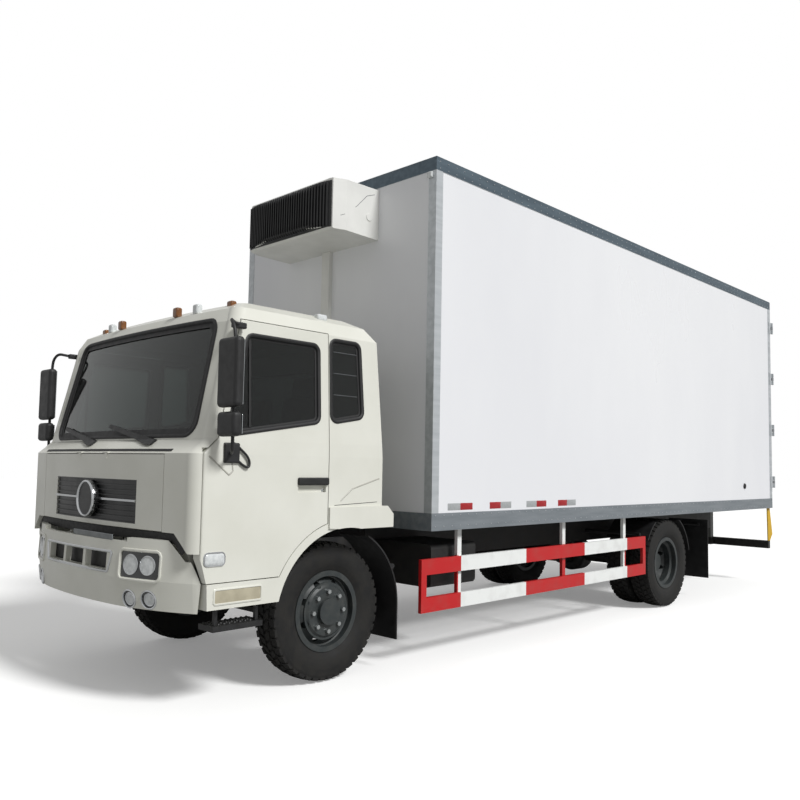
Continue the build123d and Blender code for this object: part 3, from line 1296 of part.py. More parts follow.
# Mirrors: a tall head and a small one on a looped arm from two brackets on the door.
with BuildPart() as mirror_left:
    arm_y = at(mirror_station) + mirror_depth
    low = mirror_low - small_mirror_gap - small_mirror_height
    block((mirror_x - mirror_half_width, at(mirror_station) - mirror_depth / 2, mirror_low),
          (mirror_x + mirror_half_width, at(mirror_station) + mirror_depth / 2, mirror_high))
    block((mirror_x - mirror_half_width, at(mirror_station) - mirror_depth / 2, low),
          (mirror_x + mirror_half_width, at(mirror_station) + mirror_depth / 2, low + small_mirror_height))
    fillet(mirror_left.edges().filter_by(Axis.Y), mirror_depth / 2)
    rod((mirror_x, at(mirror_station) + mirror_depth / 2, low - overrun),
        (mirror_x, at(mirror_station) + mirror_depth / 2, mirror_high + overrun), mirror_tube)
    for z, top in ((mirror_bracket_low, low - overrun), (mirror_bracket_high, mirror_high + overrun)):
        rod((mirror_x, at(mirror_station) + mirror_depth / 2, top), (cab_half_width - cab_wall / 2, at(mirror_bracket_station), z), mirror_tube)
        block((cab_half_width - cab_wall / 2, at(mirror_bracket_station) - overrun / 2, z - overrun / 2),
              (cab_half_width + mirror_tube, at(mirror_bracket_station) + overrun / 2, z + overrun / 2))
    add(cab_door_left.part, mode=Mode.SUBTRACT)
with BuildPart() as mirror_right:
    mirror(mirror_left.part, about=Plane.YZ)

# Wipers: two arms and blades that lie on the windscreen's lower edge.
wiper_pivots_share = (0.62, -0.18)
wiper_reach_share = 0.62
with BuildPart() as wipers:
    for share in wiper_pivots_share:
        x = screen_low_half * share
        end = x - screen_low_half * wiper_reach_share
        with BuildPart(mode=Mode.PRIVATE) as blade:
            prism(Plane.XZ.offset(-at(0)), [
                (x + overrun / 2, screen_low - overrun), (x + overrun / 2, screen_low - overrun / 2),
                (end, screen_low + overrun * 1.4), (end, screen_low + overrun),
                (x - overrun / 2, screen_low - overrun)], -cab_nose_station + overrun)
            cab_form(cab_skin_shares, -4 * leaf_clear, -4 * leaf_clear, Mode.INTERSECT)
            cab_form(cab_skin_shares, 0.0, 0.0, Mode.SUBTRACT)
        add(blade.part)

PIECES = {
    "frame_rails": frame_rails, "leaf_springs": leaf_springs, "front_axle_beam": front_axle_beam,
    "knuckle_left": knuckle_left, "knuckle_right": knuckle_right, "tie_rod": tie_rod,
    "rear_axle": rear_axle, "propshaft": propshaft, "engine_gearbox": engine_gearbox,
    "tyre_front_left": tyre_front_left, "rim_front_left": rim_front_left,
    "tyre_front_right": tyre_front_right, "rim_front_right": rim_front_right,
    "tyre_rear_left": tyre_rear_left, "rim_rear_left": rim_rear_left,
    "tyre_rear_right": tyre_rear_right, "rim_rear_right": rim_rear_right,
    "box_corner_rails": box_corner_rails, "box_wall_left": box_wall_left, "box_wall_right": box_wall_right,
    "box_wall_front": box_wall_front, "box_roof": box_roof, "box_floor": box_floor,
    "floor_bearers": floor_bearers, "rear_door_left": rear_door_left, "rear_door_right": rear_door_right,
    "door_gear_left": door_gear_left, "door_gear_right": door_gear_right,
    "cooling_unit": cooling_unit, "cooling_grille": cooling_grille, "side_guards": side_guards,
    "fuel_tank": fuel_tank, "battery_box": battery_box, "mudguards": mudguards, "rear_bar": rear_bar,
    "tail_lamps": tail_lamps, "front_bumper": front_bumper, "front_lamps": front_lamps,
    "cab_shell": cab_shell, "cab_steps": cab_steps, "dashboard": dashboard, "seats": seats,
    "windscreen": windscreen, "cab_windows": cab_windows, "wipers": wipers,
    "front_panel": front_panel, "front_grille": front_grille,
    "cab_door_left": cab_door_left, "cab_door_right": cab_door_right,
    "door_window_left": door_window_left, "door_window_right": door_window_right,
    "mirror_left": mirror_left, "mirror_right": mirror_right,
}
os.makedirs("parts", exist_ok=True)
for name, piece in PIECES.items():
    piece.part.label = name
    export_step(piece.part, f"parts/{name}.step")
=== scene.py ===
import math

import bmesh
import bpy
from mathutils import Matrix, Vector
from mathutils.bvhtree import BVHTree


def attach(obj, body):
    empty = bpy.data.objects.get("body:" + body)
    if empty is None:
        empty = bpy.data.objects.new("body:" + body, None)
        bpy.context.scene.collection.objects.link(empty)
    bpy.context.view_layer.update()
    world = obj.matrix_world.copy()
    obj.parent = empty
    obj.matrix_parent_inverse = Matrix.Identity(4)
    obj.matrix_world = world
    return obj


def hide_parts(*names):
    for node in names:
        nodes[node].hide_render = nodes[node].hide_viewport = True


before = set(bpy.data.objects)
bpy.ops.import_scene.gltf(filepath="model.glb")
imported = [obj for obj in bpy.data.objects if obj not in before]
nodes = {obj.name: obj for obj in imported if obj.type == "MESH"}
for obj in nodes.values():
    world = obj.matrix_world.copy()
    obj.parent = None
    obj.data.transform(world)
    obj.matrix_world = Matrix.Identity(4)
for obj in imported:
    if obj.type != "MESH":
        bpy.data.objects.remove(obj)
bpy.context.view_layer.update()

both = (1, -1)
print("frame loaded:", len(nodes), "nodes")

# Places along the truck are given behind the front axle, as on a chassis drawing.
layout = {"frontAxleY": -3.370, "rearAxleY": 1.500, "axleHeight": 0.487,
          # how far each tyre's middle is from the truck's own
          "frontWheels": (0.900,), "rearWheels": (0.812, 1.092)}


def at(station):
    return layout["frontAxleY"] + station


# Small helpers: colour, nodes, materials.
def hexColour(code):
    # sRGB hex to linear, as the shaders want it
    parts = [int(code[i:i + 2], 16) / 255 for i in (0, 2, 4)]
    return tuple(p / 12.92 if p <= 0.04045 else ((p + 0.055) / 1.055) ** 2.4 for p in parts) + (1.0,)


def addNode(tree, kind, inputs=None, **settings):
    # a new node, its settings and its inputs: each a value, an output, or a node, meaning its first output
    node = tree.nodes.new(kind)
    for name, value in settings.items():
        setattr(node, name, value)
    for socket, value in (inputs or {}).items():
        source = value.outputs[0] if isinstance(value, bpy.types.Node) else value
        if isinstance(source, bpy.types.NodeSocket):
            tree.links.new(source, node.inputs[socket])
        else:
            node.inputs[socket].default_value = source
    return node


def startMaterial(name, roughness, metallic=0.0, **sockets):
    material = bpy.data.materials.new(name)
    material.use_nodes = True
    tree = material.node_tree
    shader = tree.nodes["Principled BSDF"]
    shader.inputs["Metallic"].default_value = metallic
    shader.inputs["Roughness"].default_value = roughness
    for socket, value in sockets.items():
        shader.inputs[socket.replace("_", " ")].default_value = value
    place = addNode(tree, "ShaderNodeTexCoord")
    return material, tree, shader, place.outputs["Object"]


def mottle(tree, place, sizeMm, detail=3.0, stretch=(1, 1, 1)):
    # a noise whose grain has a real size in millimetres
    fitted = addNode(tree, "ShaderNodeMapping", {"Vector": place, "Scale": stretch})
    return addNode(tree, "ShaderNodeTexNoise",
                   {"Vector": fitted, "Scale": 1000.0 / sizeMm, "Detail": detail}).outputs["Fac"]


def twoShades(tree, cloud, low, high, first, second):
    # a soft change from one colour to the other while the noise goes from low to high
    share = addNode(tree, "ShaderNodeMapRange", {"Value": cloud, "From Min": low, "From Max": high})
    return addNode(tree, "ShaderNodeMix", {0: share, 6: first, 7: second}, data_type="RGBA").outputs[2]


def between(tree, value, low, high):
    # 1 where a value lies between two limits, and 0 elsewhere
    above = addNode(tree, "ShaderNodeMath", {0: value, 1: low}, operation="GREATER_THAN")
    below = addNode(tree, "ShaderNodeMath", {0: value, 1: high}, operation="LESS_THAN")
    return addNode(tree, "ShaderNodeMath", {0: above, 1: below}, operation="MULTIPLY")


def endPaint(tree, shader, place, colour, grainMm, bumpMm, detail=3.0, stretch=(1, 1, 1)):
    # the colour, and a bump with a grain of its own
    tree.links.new(colour, shader.inputs["Base Color"])
    if bumpMm:
        grain = mottle(tree, place, grainMm, detail, stretch)
        bump = addNode(tree, "ShaderNodeBump", {"Height": grain, "Strength": 0.5, "Distance": bumpMm / 1000})
        tree.links.new(bump.outputs["Normal"], shader.inputs["Normal"])


def plainFinish(name, light, dark, roughness, grainMm=60, bumpMm=0.0, bumpGrainMm=2.0, metallic=0.0,
                stretch=(1, 1, 1), roughSpread=0.08, **sockets):
    # two close shades in a soft mottle, uneven gloss, and a fine bump
    material, tree, shader, place = startMaterial(name, roughness, metallic, **sockets)
    cloud = mottle(tree, place, grainMm, 4.0, stretch)
    shades = twoShades(tree, cloud, 0.35, 0.65, hexColour(light), hexColour(dark))
    gloss = addNode(tree, "ShaderNodeMapRange", {
        "Value": cloud, "From Min": 0.3, "From Max": 0.7, "To Min": roughness - roughSpread,
        "To Max": roughness + roughSpread})
    tree.links.new(gloss.outputs[0], shader.inputs["Roughness"])
    endPaint(tree, shader, place, shades, bumpGrainMm, bumpMm, 2.0, stretch)
    return material


# Materials, each made as two close shades in a soft mottle, with the gloss and bump of the real stuff.
# Baked enamel on pressed steel under a thin clear coat: smooth ivory with a soft, wide highlight.
cabEnamel = plainFinish("bakedEnamelIvory", "D9D9D0", "D2D2C8", 0.38, 420, 0.15, 9.0, Coat_Weight=0.35,
                        Coat_Roughness=0.12)
# The same enamel painted greyer, as painted shade along a pressed crease: draws the thin shaded lines of door
# and wing.
creaseShade = plainFinish("bakedEnamelIvoryShaded", "AFAEA5", "A5A49B", 0.42, 120, 0.15, 9.0)
# Gelcoated glass fibre over foam, laid on a flat mould: a white sheet with a slight long wave.
gelcoat = plainFinish("gelcoatWhite", "E6E7E9", "DFE0E3", 0.34, 900, 0.6, 260.0, stretch=(1, 0.6, 0.25))
# Extruded aluminium, drawn upwards: bright metal with fine lines along its length.
brightPost = plainFinish("extrudedAluminiumPost", "C4C8CB", "B2B7BB", 0.34, 240, 0.1, 14.0, 0.6,
                         stretch=(8, 8, 0.25))
# Sprayed chassis paint under dust: black gone uneven and dull.
chassisPaint = plainFinish("chassisPaintBlack", "1B1B1C", "2A2927", 0.62, 90, 0.4, 7.0)
# Sand-cast iron, unpainted: dark, rough and slightly brown.
castMetal = plainFinish("castIronDark", "2E2D2B", "3B3833", 0.7, 40, 0.6, 4.0, 0.2)
# Rolled spring steel with an oil film: dark leaves with lines along the truck.
springSteel = plainFinish("springSteelOiled", "242220", "322E2A", 0.6, 50, 0.3, 4.0, 0.3,
                          stretch=(1, 0.2, 1))
# Vulcanised rubber with carbon black and road dust: near black, with almost no shine.
rubber = plainFinish("tyreRubber", "151515", "22211F", 0.78, 70, 0.5, 3.0, Specular_IOR_Level=0.35)
# Injection-moulded polypropylene with a spark-etched grain: a soft black with a broad sheen.
blackPlastic = plainFinish("mouldedPolypropyleneBlack", "141415", "1C1C1D", 0.5, 50, 0.12, 1.8)
# Satin paint on pressed louvres: black with a clearer edge of light on each blade.
satinBlack = plainFinish("satinBlackPaint", "101112", "191A1B", 0.36, 120, 0.08, 5.0)
# Moulded ABS with a fine grain: the flat mid grey of trim inside the cab.
greyPlastic = plainFinish("mouldedABSGrey", "5C5F61", "54575A", 0.55, 60, 0.15, 1.6)
# Vacuum-formed ABS, slightly wavy: the cooling unit's glossy off-white cover.
unitPlastic = plainFinish("mouldedABSWhite", "E2E2DE", "D8D8D4", 0.36, 300, 0.2, 60.0)
# Woven polyester over foam: a matt grey cloth with a fine weave and a light fuzz.
seatCloth = plainFinish("wovenSeatCloth", "6B6E72", "595C60", 0.9, 8, 1.0, 3.0, Sheen_Weight=0.3)
# Rolled chequer plate: pale metal whose raised pattern breaks up the light.
floorAluminium = plainFinish("chequerAluminiumFloor", "A7AAAC", "999C9E", 0.4, 80, 0.4, 12.0, 0.7)
# Aluminium sheet rolled into a tank: mid grey with lines round the barrel.
tankMetal = plainFinish("rolledAluminiumTank", "8B8E90", "7A7D80", 0.4, 100, 0.1, 10.0, 0.7,
                        stretch=(1, 0.2, 1))
# Brushed stainless steel: the rear doors' rods and hinges, bright with upright lines.
stainless = plainFinish("stainlessSteelBrushed", "B9BCBE", "A6A9AC", 0.3, 90, 0.08, 6.0, 0.85,
                        stretch=(4, 4, 0.3))
# Chrome on plastic: a clear reflection, hardly blurred.
chrome = plainFinish("chromePlate", "D4D6D8", "C8CACC", 0.14, 120, 0.0, 2.0, 1.0, roughSpread=0.03)
# Extruded rubber profile: the black lines round glass and doors, with a narrow dull highlight.
sealRubber = plainFinish("extrudedSealRubber", "0E0E0F", "161617", 0.6, 30, 0.1, 2.0)
# Silvered glass: a plain mirror.
mirrorGlass = plainFinish("silveredMirror", "D8DCDE", "D0D4D6", 0.04, 400, 0.0, 2.0, 1.0, roughSpread=0.01)
# Smoked amber acrylic, fluted inside: a dark orange lamp that is not lit.
amberLens = plainFinish("amberAcrylic", "7A4A18", "6A3E12", 0.2, 20, 0.3, 6.0, Coat_Weight=0.5)
# Red acrylic, fluted inside: the tail lamps, not lit.
redLens = plainFinish("redAcrylic", "A81418", "941014", 0.2, 20, 0.3, 6.0, Coat_Weight=0.5)
# Polycarbonate over a black housing: the dark, glossy pane of the headlamps.
lampShell = plainFinish("smokedPolycarbonate", "2C2F30", "232627", 0.12, 30, 0.0, 2.0, Coat_Weight=1.0)
# Clear acrylic, fluted over a reflector: a pale, broken shine.
whiteLens = plainFinish("clearAcrylicFluted", "D5D8D8", "C2C6C6", 0.18, 20, 0.4, 6.0, Coat_Weight=0.5)
# Retroreflective tape, a honeycomb of beads under red film: flat colour with a fine grain.
redTape = plainFinish("retroTapeRed", "A52327", "96191E", 0.4, 12, 0.2, 4.0)
# The same tape under clear film: silver grey, a little glossier.
greyTape = plainFinish("retroTapeSilver", "A7AAAB", "989B9C", 0.35, 12, 0.2, 4.0)
# Painted steel kick panel, rubbed by shoes: dull beige.
beigePanel = plainFinish("kickPanelBeige", "B1AA94", "A29B86", 0.55, 80, 0.2, 5.0)
# Pressed aluminium plate, painted grey and left blank.
blankGrey = plainFinish("blankPlateGrey", "74787A", "6A6E70", 0.45, 60, 0.1, 5.0)


def glassMaterial(name, tint, roughness=0.0):
    # Toughened float glass, tinted through its thickness: dark from outside, with the cab behind it.
    material, tree, shader, place = startMaterial(name, roughness, 0.0, Transmission_Weight=1.0, IOR=1.45)
    film = mottle(tree, place, 500, 2.0)
    deeper = tuple(channel * 0.92 for channel in hexColour(tint)[:3]) + (1.0,)
    tree.links.new(twoShades(tree, film, 0.3, 0.7, hexColour(tint), deeper), shader.inputs["Base Color"])
    return material


windowGlass = glassMaterial("toughenedGlassGreyGreen", "5A6461")
guardPaint = {"length": 5.0, "postLow": 0.812, "red": "B81418", "white": "E4E6E4", "dust": "6E665C",
              # where each colour starts along the guard, in metres behind the front axle
              "stops": ((0.0, "red"), (1.214, "white"), (2.11, "red"), (3.09, "white"), (3.93, "red"))}


def stripedGuard():
    # Two enamels sprayed over masking on sheet steel: red and white with sharp edges, under thin dust.
    plan = guardPaint
    material, tree, shader, place = startMaterial("guardEnamelRedWhite", 0.36)
    x, y, z = addNode(tree, "ShaderNodeSeparateXYZ", {"Vector": place}).outputs
    along = addNode(tree, "ShaderNodeMapRange", {
        "Value": y, "From Min": at(0.0), "From Max": at(plan["length"])})
    ramp = addNode(tree, "ShaderNodeValToRGB", {"Fac": along})
    ramp.color_ramp.interpolation = "CONSTANT"
    elements = ramp.color_ramp.elements
    for index, (station, colour) in enumerate(plan["stops"]):
        share = station / plan["length"]
        element = elements[index] if index < 2 else elements.new(share)
        element.position = share
        element.color = hexColour(plan[colour])
    posts = addNode(tree, "ShaderNodeMath", {0: z, 1: plan["postLow"]}, operation="GREATER_THAN")
    painted = addNode(tree, "ShaderNodeMix", {0: posts, 6: ramp, 7: hexColour(plan["white"])},
                      data_type="RGBA")
    dust = addNode(tree, "ShaderNodeMapRange", {
        "Value": mottle(tree, place, 130), "From Min": 0.45, "From Max": 0.75, "To Min": 0.0, "To Max": 0.16})
    dusty = addNode(tree, "ShaderNodeMix", {0: dust, 6: painted.outputs[2], 7: hexColour(plan["dust"])},
                    data_type="RGBA")
    endPaint(tree, shader, place, dusty.outputs[2], 7.0, 0.15)
    return material


# The ring of nuts: its radii, and how far out the disc's face is, front and rear.
nutRing = {"inner": 0.115, "outer": 0.160, "frontFace": 1.001, "rearFace": 0.969}


def wheelPaint(name, faceX, axleY):
    # Dark grey paint on a pressed steel disc, with plated nuts left bright in a ring.
    material, tree, shader, place = startMaterial(name, 0.42)
    x, y, z = addNode(tree, "ShaderNodeSeparateXYZ", {"Vector": place}).outputs
    across = addNode(tree, "ShaderNodeMath", {0: y, 1: axleY}, operation="SUBTRACT")
    up = addNode(tree, "ShaderNodeMath", {0: z, 1: layout["axleHeight"]}, operation="SUBTRACT")
    squared = addNode(tree, "ShaderNodeMath", {0: across, 1: across}, operation="MULTIPLY")
    squared = addNode(tree, "ShaderNodeMath", {0: up, 1: up, 2: squared}, operation="MULTIPLY_ADD")
    ring = between(tree, squared, nutRing["inner"] ** 2, nutRing["outer"] ** 2)
    outward = addNode(tree, "ShaderNodeMath", {0: x}, operation="ABSOLUTE")
    proud = addNode(tree, "ShaderNodeMath", {0: outward, 1: faceX}, operation="GREATER_THAN")
    nuts = addNode(tree, "ShaderNodeMath", {0: proud, 1: ring}, operation="MULTIPLY")
    paint = twoShades(tree, mottle(tree, place, 60), 0.35, 0.7, hexColour("2B3031"), hexColour("383B3A"))
    plated = addNode(tree, "ShaderNodeMix", {0: nuts, 6: paint, 7: hexColour("B9BDBD")}, data_type="RGBA")
    tree.links.new(nuts.outputs[0], shader.inputs["Metallic"])
    endPaint(tree, shader, place, plated.outputs[2], 5.0, 0.2)
    return material


barPlan = {"plateInner": 1.197, "plateLow": 0.567, "paintedHighlightLow": 0.5645}


def rearBarPaint():
    # Black enamel on a steel bar, its top painted grey as a painted highlight where light falls on it, with
    # yellow plates at the corners.
    material, tree, shader, place = startMaterial("barEnamelBlackYellow", 0.45)
    x, y, z = addNode(tree, "ShaderNodeSeparateXYZ", {"Vector": place}).outputs
    outward = addNode(tree, "ShaderNodeMath", {0: x}, operation="ABSOLUTE")
    corner = addNode(tree, "ShaderNodeMath", {0: outward, 1: barPlan["plateInner"]}, operation="GREATER_THAN")
    middle = addNode(tree, "ShaderNodeMath", {0: outward, 1: barPlan["plateInner"]}, operation="LESS_THAN")
    plate = addNode(tree, "ShaderNodeMath", {0: z, 1: barPlan["plateLow"]}, operation="GREATER_THAN")
    # above this height the black is painted grey: a painted highlight along the bar's lit top
    top = addNode(tree, "ShaderNodeMath", {0: z, 1: barPlan["paintedHighlightLow"]}, operation="GREATER_THAN")
    yellow = addNode(tree, "ShaderNodeMath", {0: corner, 1: plate}, operation="MULTIPLY")
    paintedHighlight = addNode(tree, "ShaderNodeMath", {0: top, 1: middle}, operation="MULTIPLY")
    black = twoShades(tree, mottle(tree, place, 50), 0.4, 0.7, hexColour("161616"), hexColour("262523"))
    grey = addNode(tree, "ShaderNodeMix", {0: paintedHighlight, 6: black, 7: hexColour("5E5F5D")}, data_type="RGBA")
    colour = addNode(tree, "ShaderNodeMix", {0: yellow, 6: grey.outputs[2], 7: hexColour("C9A010")},
                     data_type="RGBA")
    endPaint(tree, shader, place, colour.outputs[2], 6.0, 0.2)
    return material


railPlan = {"postLow": 1.163, "postHigh": 3.860}


def railPaint():
    # Extruded aluminium rails and posts, folded steel trim on top: grey, bright and blue-grey metal.
    material, tree, shader, place = startMaterial("boxEdgeRails", 0.42, 0.45)
    x, y, z = addNode(tree, "ShaderNodeSeparateXYZ", {"Vector": place}).outputs
    cloud = mottle(tree, place, 200, 4.0, (4, 0.4, 4))
    lower, bright, steel = (twoShades(tree, cloud, 0.35, 0.65, hexColour(first), hexColour(second))
                            for first, second in (("8B9196", "7C8388"), ("C3C7CA", "B3B8BB"),
                                                  ("5A6973", "4C5A64")))
    posts = between(tree, z, railPlan["postLow"], railPlan["postHigh"])
    top = addNode(tree, "ShaderNodeMath", {0: z, 1: railPlan["postHigh"]}, operation="GREATER_THAN")
    colour = addNode(tree, "ShaderNodeMix", {0: posts, 6: lower, 7: bright}, data_type="RGBA")
    colour = addNode(tree, "ShaderNodeMix", {0: top, 6: colour.outputs[2], 7: steel}, data_type="RGBA")
    endPaint(tree, shader, place, colour.outputs[2], 14.0, 0.12, 2.0, (6, 0.5, 6))
    return material


guardEnamel = stripedGuard()
frontWheelPaint = wheelPaint("wheelPaintFront", nutRing["frontFace"], layout["frontAxleY"])
rearWheelPaint = wheelPaint("wheelPaintRear", nutRing["rearFace"], layout["rearAxleY"])
barEnamel = rearBarPaint()
edgeRails = railPaint()
print("materials made")

finishes = {
    cabEnamel: ("cab_shell", "cab_door_left", "cab_door_right", "front_panel", "front_bumper"),
    gelcoat: ("box_wall_left", "box_wall_right", "box_wall_front", "box_roof", "rear_door_left",
              "rear_door_right"),
    edgeRails: ("box_corner_rails",),
    chassisPaint: ("frame_rails", "front_axle_beam", "rear_axle", "propshaft", "floor_bearers",
                   "battery_box"),
    castMetal: ("engine_gearbox", "knuckle_left", "knuckle_right", "tie_rod"),
    springSteel: ("leaf_springs",),
    rubber: ("tyre_front_left", "tyre_front_right", "tyre_rear_left", "tyre_rear_right"),
    frontWheelPaint: ("rim_front_left", "rim_front_right"),
    rearWheelPaint: ("rim_rear_left", "rim_rear_right"),
    stainless: ("door_gear_left", "door_gear_right"),
    unitPlastic: ("cooling_unit",),
    satinBlack: ("cooling_grille", "front_grille"),
    guardEnamel: ("side_guards",),
    tankMetal: ("fuel_tank",),
    blackPlastic: ("mudguards", "cab_steps", "wipers", "mirror_left", "mirror_right"),
    barEnamel: ("rear_bar",),
    redLens: ("tail_lamps",),
    lampShell: ("front_lamps",),
    windowGlass: ("windscreen", "cab_windows", "door_window_left", "door_window_right"),
    greyPlastic: ("dashboard",),
    seatCloth: ("seats",),
    floorAluminium: ("box_floor",),
}
for material, names in finishes.items():
    for name in names:
        nodes[name].data.materials.clear()
        nodes[name].data.materials.append(material)
print("CAD nodes finished:", sum(len(names) for names in finishes.values()))


# Making pieces.
def keep(piece, body, material):
    piece.data.materials.clear()
    piece.data.materials.append(material)
    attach(piece, body)
    return piece


def addPiece(name, data):
    piece = bpy.data.objects.new(name, data)
    bpy.context.scene.collection.objects.link(piece)
    return piece


def meshPiece(name, vertices, faces, smooth=False):
    mesh = bpy.data.meshes.new(name)
    mesh.from_pydata([tuple(v) for v in vertices], [], faces)
    work = bmesh.new()
    work.from_mesh(mesh)
    bmesh.ops.recalc_face_normals(work, faces=work.faces)
    work.to_mesh(mesh)
    work.free()
    if smooth:
        for polygon in mesh.polygons:
            polygon.use_smooth = True
        mesh.set_sharp_from_angle(angle=math.radians(38))
    return addPiece(name, mesh)


def joinMeshes(name, pieces):
    work = bmesh.new()
    for piece in pieces:
        work.from_mesh(piece.data)
        bpy.data.objects.remove(piece)
    mesh = bpy.data.meshes.new(name)
    work.to_mesh(mesh)
    work.free()
    return addPiece(name, mesh)


def roundedBox(low, high, radius, name="box", segments=2):
    work = bmesh.new()
    bmesh.ops.create_cube(work, size=1.0)
    size = [high[i] - low[i] for i in range(3)]
    middle = [(high[i] + low[i]) / 2 for i in range(3)]
    bmesh.ops.scale(work, vec=size, verts=work.verts)
    bmesh.ops.translate(work, vec=middle, verts=work.verts)
    if radius:
        bmesh.ops.bevel(work, geom=list(work.edges), offset=min(radius, min(size) * 0.45),
                        segments=segments, affect="EDGES", profile=0.5)
    mesh = bpy.data.meshes.new(name)
    work.to_mesh(mesh)
    work.free()
    return addPiece(name, mesh)


def mirrorCopy(piece, name):
    mesh = piece.data.copy()
    mesh.transform(Matrix.Scale(-1, 4, (1, 0, 0)))
    mesh.flip_normals()
    return addPiece(name, mesh)


def surfaceOf(*names):
    # one search tree over the triangles of some CAD nodes
    vertices, faces = [], []
    for name in names:
        mesh = nodes[name].data
        start = len(vertices)
        vertices += [vertex.co.copy() for vertex in mesh.vertices]
        faces += [[start + index for index in polygon.vertices] for polygon in mesh.polygons]
    return BVHTree.FromPolygons(vertices, faces)


# where each look starts and which way it goes: u runs to the viewer's right, v up
looks = {
    "front": lambda u, v: (Vector((u, -8, v)), Vector((0, 1, 0))),
    "left": lambda u, v: (Vector((4, u, v)), Vector((-1, 0, 0))),
    "rear": lambda u, v: (Vector((-u, 8, v)), Vector((0, -1, 0))),
}


def seatOn(surface, look, path, closed=True):
    # places on a surface with their outward normals, evened out along the path
    hits = []
    for u, v in path:
        start, ahead = looks[look](u, v)
        place, normal = surface.ray_cast(start, ahead)[:2]
        if place is None:
            raise ValueError(f"nothing under {look} {u:.3f}, {v:.3f}")
        hits.append((place, -normal if normal.dot(ahead) > 0 else normal))
    seats = []
    for index, (place, normal) in enumerate(hits):
        before = hits[index - 1] if closed or index else hits[index]
        after = hits[(index + 1) % len(hits)] if closed or index < len(hits) - 1 else hits[index]
        seats.append((place, (before[1] + 2 * normal + after[1]).normalized()))
    return seats


def roundedLoop(corners, radius, grow=0.0, spacing=0.06, steps=7):
    # points round a convex outline, anticlockwise, its corners as arcs; grow moves it outwards
    arcs, count = [], len(corners)
    for index in range(count):
        before, here, after = (Vector(corners[(index + shift) % count]) for shift in (-1, 0, 1))
        back, onward = (before - here).normalized(), (after - here).normalized()
        centre = here + (back + onward).normalized() * radius / math.sin(back.angle(onward) / 2)
        first = math.atan2(back.x, -back.y)
        last = math.atan2(-onward.x, onward.y)
        last += 2 * math.pi if last < first else 0.0
        arcs.append([centre + (radius + grow) * Vector((math.cos(angle), math.sin(angle)))
                     for angle in (first + (last - first) * step / (steps - 1) for step in range(steps))])
    points = []
    for index, arc in enumerate(arcs):
        points += arc
        start, end = arc[-1], arcs[(index + 1) % count][0]
        cuts = max(1, round((end - start).length / spacing))
        points += [start.lerp(end, cut / cuts) for cut in range(1, cuts)]
    return points


def box2(low, high):
    return ((low[0], low[1]), (high[0], low[1]), (high[0], high[1]), (low[0], high[1]))


def circleLoop(u, v, radius, steps=40):
    angles = [2 * math.pi * step / steps for step in range(steps)]
    return [(u + radius * math.cos(angle), v + radius * math.sin(angle)) for angle in angles]


def straight(start, end, cuts=12):
    start, end = Vector(start), Vector(end)
    return [start.lerp(end, cut / cuts) for cut in range(cuts + 1)]


def joinRings(rings, width, closed):
    # quads from each ring of vertices to the next, and a cap at both ends unless the rings close
    faces = []
    for ring in range(rings if closed else rings - 1):
        here, there = ring * width, (ring + 1) % rings * width
        for step in range(width):
            onward = (step + 1) % width
            faces.append((here + step, here + onward, there + onward, there + step))
    if not closed:
        faces += [tuple(range(width)), tuple(range((rings - 1) * width, rings * width))]
    return faces


def ribbon(name, seats, profile, closed=True):
    # sweep an outline of (across, out) pairs in mm; across points inwards on an anticlockwise loop
    vertices, count = [], len(seats)
    for index, (place, out) in enumerate(seats):
        before = seats[index - 1][0] if closed or index else place
        after = seats[(index + 1) % count][0] if closed or index < count - 1 else place
        across = out.cross((after - before).normalized()).normalized()
        vertices += [place + across * (u / 1000) + out * (v / 1000) for u, v in profile]
    return meshPiece(name, vertices, joinRings(count, len(profile), closed), True)


def padOn(name, seats, layers):
    # a closed pad: the outline at each (inset, rise) layer in mm, capped at both ends
    vertices, count = [], len(seats)
    for inset, rise in layers:
        for index, (place, out) in enumerate(seats):
            ahead = (seats[(index + 1) % count][0] - seats[index - 1][0]).normalized()
            vertices.append(place + out.cross(ahead).normalized() * (inset / 1000) + out * (rise / 1000))
    return meshPiece(name, vertices, joinRings(len(layers), count, False), True)


def curveTube(name, points, radius):
    # a round bar along a smooth curve
    data = bpy.data.curves.new(name, "CURVE")
    data.dimensions = "3D"
    data.bevel_depth = radius
    data.bevel_resolution = 3
    data.resolution_u = 8
    data.use_fill_caps = True
    spline = data.splines.new("NURBS")
    spline.points.add(len(points) - 1)
    for point, place in zip(spline.points, points):
        point.co = (*place, 1.0)
    spline.order_u = 3
    spline.use_endpoint_u = True
    holder = addPiece(name + "Curve", data)
    graph = bpy.context.evaluated_depsgraph_get()
    mesh = bpy.data.meshes.new_from_object(holder.evaluated_get(graph))
    bpy.data.objects.remove(holder)
    return addPiece(name, mesh)


def twoSides(piece, bodies, material):
    # the left piece and its mirror image, each on its own body
    other = mirrorCopy(piece, piece.name.replace("Left", "Right"))
    keep(piece, bodies[0], material)
    keep(other, bodies[1], material)
    return piece, other


# Geometry Nodes: a tree with its named inputs, its end, and a way to run it into a plain mesh.
def newTree(name, sockets):
    tree = bpy.data.node_groups.new(name, "GeometryNodeTree")
    tree.interface.new_socket("Geometry", in_out="INPUT", socket_type="NodeSocketGeometry")
    for kind, labels in sockets.items():
        for label in labels:
            tree.interface.new_socket(label, in_out="INPUT", socket_type="NodeSocket" + kind)
    tree.interface.new_socket("Geometry", in_out="OUTPUT", socket_type="NodeSocketGeometry")
    return tree, addNode(tree, "NodeGroupInput").outputs, addNode(tree, "NodeGroupOutput")


def finishTree(tree, geometry, material, output):
    real = addNode(tree, "GeometryNodeRealizeInstances", {"Geometry": geometry})
    painted = addNode(tree, "GeometryNodeSetMaterial", {"Geometry": real.outputs[0], "Material": material})
    tree.links.new(painted.outputs[0], output.inputs[0])


